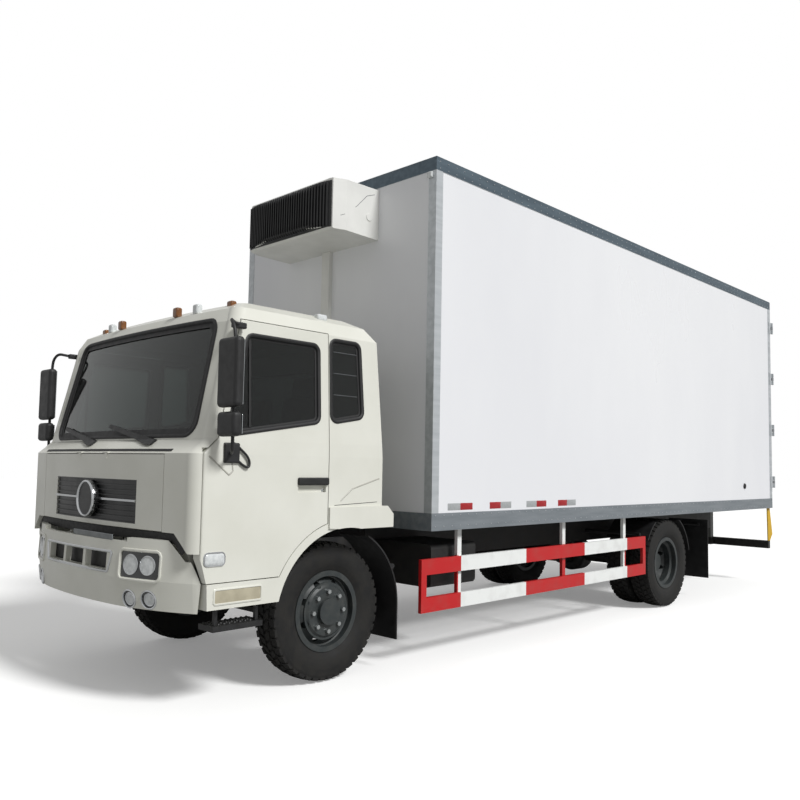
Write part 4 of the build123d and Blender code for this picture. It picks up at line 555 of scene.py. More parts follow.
def bakeTree(name, tree, values, points=()):
    # run a tree on a mesh of loose points, or none, and keep the result as a plain mesh
    base = bpy.data.meshes.new(name + "Holder")
    base.from_pydata([tuple(point) for point in points], [], [])
    holder = addPiece(name + "Holder", base)
    modifier = holder.modifiers.new("nodes", "NODES")
    modifier.node_group = tree
    for item in tree.interface.items_tree:
        if item.item_type == "SOCKET" and item.in_out == "INPUT" and item.name in values:
            modifier[item.identifier] = values[item.name]
    graph = bpy.context.evaluated_depsgraph_get()
    mesh = bpy.data.meshes.new_from_object(holder.evaluated_get(graph))
    mesh.name = name
    holder.modifiers.remove(modifier)
    bpy.data.objects.remove(holder)
    return addPiece(name, mesh)


def treadTree():
    # one row of lugs: blocks round the axle, skewed, and sunk towards the shoulder
    tree, given, output = newTree("treadRow", {
        "Int": ("Lugs",), "Float": ("Radius", "Depth", "Length", "Width", "Offset", "Skew", "Drop", "Turn"),
        "Material": ("Material",)})
    size = addNode(tree, "ShaderNodeCombineXYZ", {0: given["Depth"], 1: given["Length"], 2: given["Width"]})
    lug = addNode(tree, "GeometryNodeMeshCube", {
        "Size": size.outputs[0], "Vertices X": 2, "Vertices Y": 2, "Vertices Z": 4})
    shift = addNode(tree, "ShaderNodeCombineXYZ", {2: given["Offset"]})
    lug = addNode(tree, "GeometryNodeTransform", {
        "Geometry": lug.outputs[0], "Translation": shift.outputs[0]})
    place = addNode(tree, "GeometryNodeInputPosition")
    x, y, z = addNode(tree, "ShaderNodeSeparateXYZ", {"Vector": place}).outputs
    along = addNode(tree, "ShaderNodeMath", {0: z, 1: given["Skew"]}, operation="MULTIPLY")
    squared = addNode(tree, "ShaderNodeMath", {0: z, 1: z}, operation="MULTIPLY")
    sunk = addNode(tree, "ShaderNodeMath", {0: squared, 1: given["Drop"]}, operation="MULTIPLY")
    down = addNode(tree, "ShaderNodeMath", {0: sunk, 1: -1.0}, operation="MULTIPLY")
    move = addNode(tree, "ShaderNodeCombineXYZ", {0: down, 1: along})
    lug = addNode(tree, "GeometryNodeSetPosition", {"Geometry": lug.outputs[0], "Offset": move.outputs[0]})
    ring = addNode(tree, "GeometryNodeMeshCircle", {"Vertices": given["Lugs"], "Radius": given["Radius"]})
    spot = addNode(tree, "GeometryNodeInputPosition")
    outwards = addNode(tree, "FunctionNodeAlignRotationToVector", {"Vector": spot.outputs[0]}, axis="X",
                       pivot_axis="Z")
    copies = addNode(tree, "GeometryNodeInstanceOnPoints", {
        "Points": ring.outputs[0], "Instance": lug.outputs[0], "Rotation": outwards.outputs[0]})
    spin = addNode(tree, "ShaderNodeCombineXYZ", {2: given["Turn"]})
    turned = addNode(tree, "GeometryNodeTransform", {
        "Geometry": copies.outputs[0], "Rotation": spin.outputs[0]})
    finishTree(tree, turned.outputs[0], given["Material"], output)
    return tree


tread = treadTree()
tyreShape = {
    "halfWidth": 0.118, "beadRadius": 0.256, "radius": 0.487, "ribWidth": 0.018,
    # lugs: how many in a row, how deep, how long, how far under the CAD tyre, and the shoulder's fall
    "lugs": 44, "lugDepth": 0.028, "lugLength": 0.047, "lugGap": 0.0008, "lugDrop": 1.15,
    # across and up, as shares of half width and of the height over the bead
    "section": ((0.66, 0.0), (0.69, 0.09), (0.80, 0.18), (0.92, 0.30), (0.985, 0.44), (1.0, 0.52),
                (0.99, 0.64), (0.965, 0.75), (0.925, 0.85), (0.88, 0.90), (0.80, 0.925), (0.40, 0.945),
                (0.0, 0.948)),
    # sidewall ribs: where up the wall, and how proud in metres
    "ribs": ((0.12, 0.0025), (0.36, 0.002), (0.60, 0.0025), (0.80, 0.003)),
    # offset, width and skew of each lug row, in metres
    "rows": ((0.086, 0.044, 0.28), (-0.086, 0.044, -0.28), (0.028, 0.046, -0.5), (-0.028, 0.046, 0.5)),
}


def latheProfile(points, segments=96):
    # turn (across, radius) points round the X axis
    vertices = []
    for step in range(segments):
        angle = 2 * math.pi * step / segments
        cosine, sine = math.cos(angle), math.sin(angle)
        vertices += [(across, radius * cosine, radius * sine) for across, radius in points]
    return vertices, joinRings(segments, len(points), True)


def makeTyre():
    shape = tyreShape
    height = shape["radius"] - shape["beadRadius"]
    half = []
    section = shape["section"]
    for (acrossA, upA), (acrossB, upB) in zip(section, section[1:]):
        for share in (0.0, 0.25, 0.5, 0.75):
            up = upA + (upB - upA) * share
            proud = sum(size * math.exp(-((up - rib) / shape["ribWidth"]) ** 2)
                        for rib, size in shape["ribs"])
            half.append((shape["halfWidth"] * (acrossA + (acrossB - acrossA) * share) + proud * 0.5,
                         shape["beadRadius"] + height * up))
    half.append((0.0, shape["beadRadius"] + height * section[-1][1]))
    profile = half + [(-across, radius) for across, radius in reversed(half[:-1])]
    parts = [meshPiece("carcass", *latheProfile(profile), smooth=True)]
    for index, (offset, width, skew) in enumerate(shape["rows"]):
        row = bakeTree("treadRow", tread, {
            "Lugs": shape["lugs"], "Radius": shape["radius"] - shape["lugGap"] - shape["lugDepth"] / 2,
            "Depth": shape["lugDepth"], "Length": shape["lugLength"], "Width": width, "Offset": offset,
            "Skew": skew, "Drop": shape["lugDrop"], "Turn": (index % 2) * math.pi / shape["lugs"],
            "Material": rubber})
        row.data.transform(Matrix.Rotation(math.pi / 2, 4, "Y"))
        parts.append(row)
    return joinMeshes("tyreMaster", parts)


tyreMaster = makeTyre()


def placeTyres(name, centres, axleY, body, node):
    copies = []
    for centre in centres:
        mesh = tyreMaster.data.copy()
        mesh.transform(Matrix.Translation((centre, axleY, layout["axleHeight"])))
        copies.append(addPiece(name, mesh))
    tyre = joinMeshes(name, copies)
    keep(tyre, body, rubber)
    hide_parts(node)


for side, word in ((1, "Left"), (-1, "Right")):
    for end in ("Front", "Rear"):
        place = end.lower() + "_" + word.lower()
        centres = [side * centre for centre in layout[end.lower() + "Wheels"]]
        placeTyres("roadTyre" + end + word, centres, layout[end.lower() + "AxleY"], "wheel_" + place,
                   "tyre_" + place)
bpy.data.objects.remove(tyreMaster)
print("tyres made")


# Outlines of the swept trim, as (across, out) pairs in mm.
outlines = {
    "bar": ((-9, -1), (-9, 5), (-6, 7), (6, 7), (9, 5), (9, -1)),
    "wire": ((-2, -1), (-2, 2), (0, 3), (2, 2), (2, -1)),
    "blade": ((-4.5, -2), (-4.5, 10), (-2, 13), (3, 13), (4.5, 10), (4.5, -2)),
    "seam": ((-2, -1), (-2, 0.8), (2, 0.8), (2, -1)),
    "hairline": ((-2, -1), (-2, 0.6), (2, 0.6), (2, -1)),
    "midBar": ((-10, -2), (-10, 21), (-7, 25), (7, 25), (10, 21), (10, -2)),
    "emblem": ((-8, -30), (-8, 6), (-5, 12), (0, 15), (5, 12), (8, 6), (8, -30)),
    "intake": ((-9, -2), (-9, 5), (-6, 8), (4, 8), (7, 4), (7, -2)),
    "headlamp": ((-10, -3), (-10, 4), (-6, 8), (3, 8), (8, 3), (8, -3)),
    "reflector": ((-4, -2), (-4, 4), (-1, 6), (2, 4), (3, -2)),
    "fogRim": ((-6, -3), (-6, 5), (-2, 9), (3, 7), (5, -3)),
    "cowl": ((-11, -2), (-11, 3), (11, 3), (11, -2)),
    "gapShadeSheet": ((-24, -31), (-24, -25), (-82, -25), (-82, -31)),
    "ridge": ((-6, -2), (-5, 1), (0, 3.4), (5, 1), (6, -2)),
    "bezel": ((-6, -2), (-6, 4), (-2, 8), (4, 6), (5, -2)),
    "sill": ((-6, -2), (-6, 4), (-3, 6), (4, 6), (7, 2), (7, -2)),
    "doorRubber": ((-9, -2), (-9, 3), (-5, 5), (5, 5), (9, 3), (9, -2)),
}
frameSides = ("chassis", "chassis")
cabSides = ("cab", "cab")
doorSides = ("cab_door_left_body", "cab_door_right_body")
leafSides = ("rear_leaf_left", "rear_leaf_right")


def frameOn(name, surface, look, loop, outline):
    return ribbon(name, seatOn(surface, look, loop), outlines[outline])


def lineOn(name, surface, look, path, outline):
    return ribbon(name, seatOn(surface, look, path, False), outlines[outline], False)


# Window rubbers: a bead over the skin's edge, then the black printed border on the glass.
# For each window: the look, the corner radius in metres, the border in mm, and the corners.
skin = surfaceOf("cab_shell", "cab_door_left", "cab_door_right", "front_panel")
windows = {
    "screen": ("front", 0.090, 52, ((-1.000, 1.690), (1.000, 1.690), (0.955, 2.440), (-0.955, 2.440))),
    "rear": ("rear", 0.045, 22, box2((-0.420, 1.850), (0.420, 2.260))),
    "door": ("left", 0.045, 28, ((at(-1.000), 1.697), (at(-0.275), 1.812), (at(-0.275), 2.330),
                                 (at(-0.848), 2.330))),
    "quarter": ("left", 0.045, 28, ((at(-0.158), 1.815), (at(0.130), 1.865), (at(0.1075), 2.385),
                                    (at(-0.158), 2.385))),
}


def gasket(name, window):
    look, radius, border, corners = windows[window]
    seats = seatOn(skin, look, roundedLoop(corners, radius, 0.006))
    return ribbon(name, seats, ((-12, -3), (-12, 4), (-5, 8), (4, 7), (12, 2), (16, -10), (border, -12),
                                (border, -13.2), (10, -13.6)))


keep(gasket("windscreenRubber", "screen"), "cab", sealRubber)
keep(gasket("rearWindowRubber", "rear"), "cab", sealRubber)
twoSides(gasket("doorWindowRubberLeft", "door"), doorSides, sealRubber)
twoSides(gasket("quarterWindowRubberLeft", "quarter"), cabSides, sealRubber)
barPath = straight((at(-0.830), 1.745), (at(-0.830), 2.300))
twoSides(lineOn("doorWindowBarLeft", surfaceOf("door_window_left"), "left", barPath, "bar"), doorSides,
         sealRubber)
sidePane = surfaceOf("cab_windows")
wires = [lineOn("wire", sidePane, "left", straight((at(-0.128), height), (at(0.090), height), 6), "wire")
         for height in (2.309, 2.158, 2.007)]
twoSides(joinMeshes("quarterWindowLinesLeft", wires), cabSides, greyPlastic)
print("window rubbers made")

# Mirrors: a tall and a small head on bent tubes, from two brackets on the door.
mirrorPlan = {
    "inner": 1.226, "outer": 1.434, "front": at(-1.122), "rear": at(-1.056), "corner": 0.026,
    "low": 1.850, "high": 2.268, "smallLow": 1.676, "smallHigh": 1.824, "smallInset": 0.010,
    # x, station and height along each tube
    "topArm": ((1.190, -0.940, 2.378), (1.215, -1.000, 2.384), (1.250, -1.045, 2.396),
               (1.300, -1.062, 2.360), (1.330, -1.062, 2.300), (1.330, -1.062, 2.200)),
    "lowArm": ((1.330, -1.062, 1.900), (1.330, -1.062, 1.650), (1.328, -1.060, 1.600),
               (1.260, -1.020, 1.575), (1.195, -0.975, 1.585)),
    "lowLoop": ((1.200, -0.966, 1.643), (1.206, -0.888, 1.590), (1.206, -0.841, 1.529),
                (1.206, -0.861, 1.479), (1.200, -0.925, 1.530)),
}


def makeMirror():
    plan = mirrorPlan
    inner, outer, front, rear = (plan[key] for key in ("inner", "outer", "front", "rear"))
    inset = plan["smallInset"]
    parts = [
        roundedBox((inner, front, plan["low"]), (outer, rear, plan["high"]), plan["corner"], "head", 5),
        roundedBox((inner + inset, front, plan["smallLow"]), (outer - inset, rear, plan["smallHigh"]),
                   plan["corner"], "smallHead", 5),
        roundedBox((1.163, at(-0.990), 2.358), (1.205, at(-0.895), 2.396), 0.008, "topBracket", 3),
        roundedBox((1.165, at(-1.030), 1.520), (1.212, at(-0.922), 1.644), 0.010, "lowBracket", 3),
    ]
    for label, radius in (("topArm", 0.011), ("lowArm", 0.011), ("lowLoop", 0.008)):
        parts.append(curveTube(label, [(x, at(station), z) for x, station, z in plan[label]], radius))
    return joinMeshes("mirrorLeftBody", parts)


def makeMirrorPanes(margin=0.018, edge=0.016):
    plan = mirrorPlan
    panes = []
    for low, high in ((plan["low"], plan["high"]), (plan["smallLow"], plan["smallHigh"])):
        panes.append(roundedBox((plan["inner"] + margin, plan["rear"] - 0.001, low + edge),
                                (plan["outer"] - margin, plan["rear"] + 0.003, high - edge), 0.0015))
    return joinMeshes("mirrorPaneLeft", panes)


housing, otherHousing = twoSides(makeMirror(), doorSides, blackPlastic)
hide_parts("mirror_left")
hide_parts("mirror_right")
twoSides(makeMirrorPanes(), doorSides, mirrorGlass)
print("mirrors made")

# The cooling unit's front: a black sheet over the whole bowed face, and upright blades on it.
# Between plainLow and plainHigh lies the CAD's own louvred field: the sheet takes the depth of its rim there.
unitSkin = surfaceOf("cooling_unit")
unitFront = {"half": 0.548, "low": 3.432, "high": 3.812, "plainLow": 3.458, "plainHigh": 3.766,
             "pitch": 0.031, "back": 0.002, "face": 0.009, "endGap": 0.012, "footGap": 0.010}


def unitFace(x, z):
    plain = z < unitFront["plainLow"] or z > unitFront["plainHigh"]
    height = z if plain else unitFront["plainHigh"]
    return unitSkin.ray_cast(Vector((x, -8, height)), Vector((0, 1, 0)))[0].y


def unitSheet(columns=30, rows=12):
    plan = unitFront
    across = [plan["half"] * (2 * step / columns - 1) for step in range(columns + 1)]
    up = [plan["low"] + (plan["high"] - plan["low"]) * step / rows for step in range(rows + 1)]
    vertices, faces = [], []
    for lift in (plan["back"], plan["face"]):
        vertices += [(x, unitFace(x, z) - lift, z) for z in up for x in across]
    wide, layer = len(across), len(across) * len(up)
    for row in range(rows):
        for column in range(columns):
            corner = row * wide + column
            square = (corner, corner + 1, corner + wide + 1, corner + wide)
            faces.append(square)
            faces.append(tuple(layer + index for index in reversed(square)))
    rim = (list(range(wide)) + [row * wide + columns for row in range(1, rows + 1)]
           + [rows * wide + column for column in range(columns - 1, -1, -1)]
           + [row * wide for row in range(rows - 1, 0, -1)])
    for index, corner in enumerate(rim):
        onward = rim[(index + 1) % len(rim)]
        faces.append((corner, onward, layer + onward, layer + corner))
    return meshPiece("unitSheet", vertices, faces, True)


def unitBlades(cuts=10):
    plan = unitFront
    blades = []
    for index in range(int(2 * (plan["half"] - plan["endGap"]) / plan["pitch"]) + 1):
        x = -plan["half"] + plan["endGap"] + index * plan["pitch"]
        tall = plan["high"] - plan["low"] - 2 * plan["footGap"]
        heights = [plan["low"] + plan["footGap"] + tall * step / cuts for step in range(cuts + 1)]
        seats = [(Vector((x, unitFace(x, z) - plan["face"], z)), Vector((0, -1, 0))) for z in heights]
        blades.append(ribbon("blade", seats, outlines["blade"], False))
    return blades


keep(joinMeshes("coolingUnitLouvres", [unitSheet()] + unitBlades()), "chassis", satinBlack)
unitLine = [(at(station), z) for station, z in (
    (0.400, 3.532), (0.433, 3.546), (0.562, 3.644), (0.672, 3.757), (0.760, 3.790))]
twoSides(lineOn("unitSeamLeft", unitSkin, "left", unitLine, "seam"), frameSides, greyPlastic)
plug = seatOn(unitSkin, "left", circleLoop(at(0.700), 3.582, 0.033, 28))
twoSides(padOn("unitPlugLeft", plug, ((0, -2), (0, 3), (3, 6))), frameSides, unitPlastic)
print("cooling front made")

# Nose: the bright bar and ring of the grille, the frame round the air intake, plate, lamps and cowl.
lidSkin = surfaceOf("front_panel")
bumperSkin = surfaceOf("front_bumper")
lampSkin = surfaceOf("front_bumper", "front_lamps")
nosePlan = {"barReach": 0.594, "barHeight": 1.2685, "ringFace": -4.701, "ringHeight": 1.2635,
            "ringRadius": 0.117, "foremost": -4.7698, "cowlReach": 0.930, "cowlHeight": 1.592,
            # x, height and radius of two headlamp bowls, then of two fog lamp bowls, and the fog lamps' rim
            "headlamps": ((0.668, 0.882, 0.060), (0.806, 0.884, 0.056)),
            "fogLamps": ((0.660, 0.671, 0.036), (0.818, 0.679, 0.036)), "fogRim": 0.053}


def levelPath(reach, height):
    return straight((-nosePlan[reach], nosePlan[height]), (nosePlan[reach], nosePlan[height]), 24)


midBar = lineOn("grilleMidBar", lidSkin, "front", levelPath("barReach", "barHeight"), "midBar")
ringLoop = circleLoop(0, nosePlan["ringHeight"], nosePlan["ringRadius"], 64)
ringSeats = [(Vector((x, nosePlan["ringFace"], z)), Vector((0, -1, 0))) for x, z in ringLoop]
ring = ribbon("grilleRing", ringSeats, outlines["emblem"])
keep(joinMeshes("grilleBarAndRing", [midBar, ring]), "front_lid", chrome)
intakeLoop = roundedLoop(((-0.452, 0.823), (0.452, 0.823), (0.490, 0.947), (-0.490, 0.947)), 0.014, 0.0,
                         0.04)
intakeFrame = frameOn("intakeFrame", bumperSkin, "front", intakeLoop, "intake")
for vertex in intakeFrame.data.vertices:
    # the nose's foremost line stays the bumper's own
    vertex.co.y = max(vertex.co.y, nosePlan["foremost"])
keep(intakeFrame, "chassis", chrome)
# a black sheet behind the intake's cells: painted shade, darker than the engine seen through them
keep(roundedBox((-0.440, -4.703, 0.826), (0.440, -4.697, 0.944), 0.002, "intakePaintedShade"), "chassis",
     blackPlastic)
keep(roundedBox((-0.078, at(-1.373), 1.020), (0.490, at(-1.366), 1.056), 0.003, "blankPlate"), "chassis",
     blankGrey)
lampLoop = roundedLoop(box2((0.582, 0.802), (0.893, 0.962)), 0.024, 0.010, 0.04)
twoSides(frameOn("headlampFrameLeft", lampSkin, "front", lampLoop, "headlamp"), frameSides, cabEnamel)
rims, bowls = [], []
for x, z, radius in nosePlan["headlamps"] + nosePlan["fogLamps"]:
    seats = seatOn(lampSkin, "front", circleLoop(x, z, radius))
    rims.append(ribbon("rim", seats, outlines["reflector"]))
    bowls.append(padOn("bowl", seats, ((2, -1), (2, 1.0), (radius * 500, 2.2), (radius * 800, 2.6))))
for x, z, radius in nosePlan["fogLamps"]:
    rims.append(frameOn("fogRim", lampSkin, "front", circleLoop(x, z, nosePlan["fogRim"]), "fogRim"))
twoSides(joinMeshes("lampRimsLeft", rims), frameSides, chrome)
twoSides(joinMeshes("lampBowlsLeft", bowls), frameSides, whiteLens)
keep(lineOn("cowlStrip", skin, "front", levelPath("cowlReach", "cowlHeight"), "cowl"), "cab", sealRubber)
print("nose made")

# The dark gap between cab and bumper: a black sheet behind the cab's lower edge, as painted shade in the gap.
gapPlan = {"edge": 1.091, "corner": 0.977, "inner": 1.002, "outer": 1.133, "reach": 1.100, "above": 0.020}


def lowerEdge(x):
    share = max(0.0, (abs(x) - gapPlan["inner"]) / (gapPlan["outer"] - gapPlan["inner"]))
    return gapPlan["edge"] + (gapPlan["corner"] - gapPlan["edge"]) * share + gapPlan["above"]


gapPath = [(x, lowerEdge(x)) for x in (gapPlan["reach"] * (step / 30 - 1) for step in range(61))]
# the black sheet that paints the gap's shade
keep(lineOn("cabFootGapShade", skin, "front", gapPath, "gapShadeSheet"), "cab", sealRubber)

# Cab side: creases, handle, lock, side lamp and sill panel.
doorSkin = surfaceOf("cab_door_left")
shellSkin = surfaceOf("cab_shell")


def bead(name, surface, corners, outline, cuts=6):
    corners = [(at(station), z) for station, z in corners]
    path = []
    for start, end in zip(corners, corners[1:]):
        path += straight(start, end, cuts)[:-1]
    return lineOn(name, surface, "left", path + [Vector(corners[-1])], outline)


# crease beads in the greyer enamel: painted shade along the pressings
twoSides(bead("doorCrease", doorSkin, ((-1.130, 1.560), (-0.985, 1.446), (-0.958, 1.472), (-0.967, 1.532)),
              "ridge"), doorSides, creaseShade)
twoSides(bead("fenderCreaseLeft", shellSkin, ((-0.070, 1.272), (0.035, 1.354), (0.300, 1.428)), "ridge"),
         cabSides, creaseShade)
twoSides(bead("fenderSeamLeft", shellSkin, ((-0.125, 1.243), (0.280, 1.259)), "hairline"), cabSides,
         sealRubber)
twoSides(roundedBox((1.184, at(-0.452), 1.381), (1.210, at(-0.188), 1.433), 0.011, "doorHandleLeft", 4),
         doorSides, blackPlastic)
lock = [(Vector((1.168, y, z)), Vector((1, 0, 0))) for y, z in circleLoop(at(-0.218), 1.346, 0.012, 24)]
twoSides(padOn("doorLockLeft", lock, ((0, -2), (0, 3), (3, 4.5))), doorSides, chrome)


def sideLoop(box, radius, grow, spacing):
    return roundedLoop(box2((at(box[0]), box[1]), (at(box[2]), box[3])), radius, grow, spacing)


# each frame and its panel: station and height of one corner, then of the other
lampBox, sillBox = (-1.146, 0.898, -0.992, 0.986), (-1.070, 0.665, -0.713, 0.765)
twoSides(frameOn("sideLampBezelLeft", doorSkin, "left", sideLoop(lampBox, 0.030, -0.006, 0.03), "bezel"),
         doorSides, chrome)
twoSides(padOn("sideLampLensLeft", seatOn(doorSkin, "left", sideLoop(lampBox, 0.030, -0.010, 0.03)),
               ((0, -1), (0, 5), (6, 9), (20, 11))), doorSides, whiteLens)
twoSides(frameOn("sillFrameLeft", shellSkin, "left", sideLoop(sillBox, 0.020, -0.006, 0.04), "sill"),
         cabSides, cabEnamel)
twoSides(padOn("sillPanelLeft", seatOn(shellSkin, "left", sideLoop(sillBox, 0.020, -0.010, 0.04)),
               ((0, -1), (0, 1.2), (4, 1.6))), cabSides, beigePanel)
print("cab side made")

# Roof lamps and the box's lamps, tapes and buffers.
roofPlan = {"halfWidth": 0.030, "halfDepth": 0.024, "foot": 2.520, "top": 2.590,
            # x and station of the lamps on one side
            "dark": ((0.898, -0.811), (0.403, -0.923)), "light": ((0.617, -0.896),)}


def roofLamp(x, station):
    wide, deep, y = roofPlan["halfWidth"], roofPlan["halfDepth"], at(station)
    return roundedBox((x - wide, y - deep, roofPlan["foot"]), (x + wide, y + deep, roofPlan["top"]), 0.014,
                      "lamp", 4)


for label, lens in (("dark", amberLens), ("light", whiteLens)):
    lamps = [roofLamp(side * x, station) for x, station in roofPlan[label] for side in both]
    keep(joinMeshes("roofLamps" + label.capitalize(), lamps), "cab", lens)
for name, low, high, radius, bodies in (
        ("roofSideLampLeft", (1.010, at(-0.215), 2.530), (1.072, at(-0.125), 2.578), 0.014, cabSides),
        ("boxFrontLampLeft", (1.165, -2.586, 3.802), (1.215, -2.556, 3.852), 0.010, frameSides)):
    twoSides(roundedBox(low, high, radius, name, 4), bodies, whiteLens)
wallSkin = surfaceOf("box_wall_left")
# tapes: the stations where each starts and ends, and which colour comes first
tapePlan = {"low": 1.180, "high": 1.235, "gap": 0.0005,
            "places": ((1.000, 1.310, "grey"), (1.535, 1.836, "red"), (2.060, 2.370, "grey"),
                       (2.560, 2.865, "red"))}
tapes = {"red": [], "grey": []}
for start, end, first in tapePlan["places"]:
    middle = (start + end) / 2
    second = "red" if first == "grey" else "grey"
    for low, high, colour in ((start, middle, first), (middle, end, second)):
        corners = box2((at(low) + tapePlan["gap"], tapePlan["low"]),
                       (at(high) - tapePlan["gap"], tapePlan["high"]))
        loop = roundedLoop(corners, 0.003, 0.0, 0.2, 3)
        tapes[colour].append(padOn("tape", seatOn(wallSkin, "left", loop), ((0, -0.5), (0, 0.5), (1, 0.9))))
twoSides(joinMeshes("boxTapeRedLeft", tapes["red"]), frameSides, redTape)
twoSides(joinMeshes("boxTapeGreyLeft", tapes["grey"]), frameSides, greyTape)
buffer = seatOn(wallSkin, "left", circleLoop(at(7.030), 1.340, 0.036, 28))
twoSides(padOn("boxBufferLeft", buffer, ((0, -2), (0, 8), (4, 13), (14, 15))), frameSides, sealRubber)
print("lamps and tapes made")


def repeatTree():
    # Geometry Nodes: one small tapered stud repeated on given points
    tree, given, output = newTree("repeatOnPoints", {
        "Float": ("Radius", "Top", "Height"), "Vector": ("Turn",), "Material": ("Material",)})
    stud = addNode(tree, "GeometryNodeMeshCone", {
        "Vertices": 8, "Radius Top": given["Top"], "Radius Bottom": given["Radius"],
        "Depth": given["Height"]})
    copies = addNode(tree, "GeometryNodeInstanceOnPoints", {
        "Points": given["Geometry"], "Instance": stud.outputs[0], "Rotation": given["Turn"]})
    finishTree(tree, copies.outputs[0], given["Material"], output)
    return tree


repeatForm = repeatTree()


def studs(name, points, plan, turn, body, material):
    piece = bakeTree(name, repeatForm, {
        "Radius": plan["radius"], "Top": plan["top"], "Height": plan["height"], "Turn": turn,
        "Material": material}, points)
    return keep(piece, body, material)


# Rivets along the box's edge rails, and studs on the cab steps.
rivetPlan = {"radius": 0.005, "top": 0.003, "height": 0.004, "lift": 0.0015, "pitch": 0.100, "count": 72,
             "first": -2.52, "leastX": 1.2, "heights": (1.060, 1.145, 3.880, 3.935)}
railSkin = surfaceOf("box_corner_rails")
rivets = {1: [], -1: []}
for height in rivetPlan["heights"]:
    for index in range(rivetPlan["count"]):
        start = Vector((4, rivetPlan["first"] + index * rivetPlan["pitch"], height))
        place = railSkin.ray_cast(start, Vector((-1, 0, 0)))[0]
        if place and place.x > rivetPlan["leastX"]:
            for side in both:
                rivets[side].append((side * (place.x + rivetPlan["lift"]), place.y, place.z))
for side, word in ((1, "Left"), (-1, "Right")):
    studs("railRivets" + word, rivets[side], rivetPlan, (0.0, side * math.pi / 2, 0.0), "chassis",
          brightPost)
stepPlan = {"radius": 0.010, "top": 0.007, "height": 0.008, "inner": 1.020, "across": 0.034,
            "first": -4.390, "along": 0.039, "above": 0.56, "rows": 4, "inRow": 9}
stepSkin = surfaceOf("cab_steps")
treads = []
for row in range(stepPlan["rows"]):
    for index in range(stepPlan["inRow"]):
        start = Vector((stepPlan["inner"] + row * stepPlan["across"],
                        stepPlan["first"] + index * stepPlan["along"], stepPlan["above"]))
        place = stepSkin.ray_cast(start, Vector((0, 0, -1)))[0]
        if place:
            treads += [(side * place.x, place.y, place.z) for side in both]
studs("stepTreads", treads, stepPlan, (0.0, 0.0, 0.0), "cab", blackPlastic)
print("rivets:", len(rivets[1]), "a side, step studs:", len(treads))

# Rear doors: rubber round each leaf's edge, and amber and white panes on the tail lamps.
rearDoors = surfaceOf("rear_door_left", "rear_door_right")
leaf = [vertex.co for vertex in nodes["rear_door_left"].data.vertices]
leafLow = (min(corner.x for corner in leaf), min(corner.z for corner in leaf))
leafHigh = (max(corner.x for corner in leaf), max(corner.z for corner in leaf))
leafLoop = [(-x, z) for x, z in roundedLoop(box2(leafLow, leafHigh), 0.020, -0.014, 0.3)]
twoSides(frameOn("rearDoorRubberLeft", rearDoors, "rear", leafLoop[::-1], "doorRubber"), leafSides,
         sealRubber)
for colour, inner, outer, lens in (("Amber", 1.040, 1.116, amberLens), ("White", 0.964, 1.036, whiteLens)):
    pane = roundedBox((inner, 4.684, 1.062), (outer, 4.694, 1.143), 0.004, "tailPane" + colour + "Left", 3)
    twoSides(pane, frameSides, lens)
print("rear made")

# Seats: each plain block becomes a crowned foam pad with a sewn channel near its rim.
seatPlan = {"front": -3.925, "rear": -3.430, "low": 1.322, "top": 1.452, "backTop": 2.028, "lean": 0.15,
            "crown": 0.016, "seam": 0.005, "seamAt": 0.78, "seamWidth": 0.05, "plinth": 0.8,
            "plinthFront": -3.870, "headHalf": 0.130, "headFront": -3.362, "headRear": -3.300,
            "headLow": 2.020, "headHigh": 2.178,
            # centre, half width and the foot of the plinth under each seat
            "places": ((0.640, 0.235, 1.120), (-0.640, 0.235, 1.120), (0.0, 0.190, 1.260))}


def crownedPad(low, high, lean=0.0):
    piece = roundedBox(low, high, 0.030, "pad", 4)
    work = bmesh.new()
    work.from_mesh(piece.data)
    long = [edge for edge in work.edges if edge.calc_length() > 0.06]
    bmesh.ops.subdivide_edges(work, edges=long, cuts=13, use_grid_fill=True)
    middle = [(low[i] + high[i]) / 2 for i in range(3)]
    half = [(high[i] - low[i]) / 2 for i in range(3)]
    thin = half.index(min(half))
    wide = [i for i in range(3) if i != thin]
    for vertex in work.verts:
        shares = [min(1.0, abs(vertex.co[i] - middle[i]) / half[i]) for i in wide]
        swell = seatPlan["crown"] * (1 - shares[0] ** 2) * (1 - shares[1] ** 2)
        fromSeam = (max(shares) - seatPlan["seamAt"]) / seatPlan["seamWidth"]
        swell -= seatPlan["seam"] * math.exp(-fromSeam ** 2)
        vertex.co[thin] += math.copysign(swell, vertex.co[thin] - middle[thin])
        vertex.co.y += lean * (vertex.co.z - low[2])
    work.to_mesh(piece.data)
    work.free()
    for polygon in piece.data.polygons:
        polygon.use_smooth = True
    return piece


def makeSeats():
    plan = seatPlan
    front, rear, low, top = plan["front"], plan["rear"], plan["low"], plan["top"]
    parts = []
    for x, half, foot in plan["places"]:
        parts.append(crownedPad((x - half, front, low), (x + half, rear, top)))
        parts.append(crownedPad((x - half, rear - 0.030, top - 0.010),
                                (x + half, rear + 0.055, plan["backTop"]), plan["lean"]))
        narrow = half * plan["plinth"]
        parts.append(roundedBox((x - narrow, plan["plinthFront"], foot), (x + narrow, rear, low), 0.012))
        if x:
            parts.append(crownedPad((x - plan["headHalf"], plan["headFront"], plan["headLow"]),
                                    (x + plan["headHalf"], plan["headRear"], plan["headHigh"])))
    return joinMeshes("seatPads", parts)


seatPads = makeSeats()
keep(seatPads, "cab", seatCloth)
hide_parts("seats")
print("seats made")


# Camera, light, floor.
cameraPlan = {"place": (5.3247, -7.1221, 1.5165), "yaw": 44.173, "pitch": 3.94, "roll": 1.02,
              "lens": 35.729, "sensorWidth": 36.0, "shiftY": 0.0149}


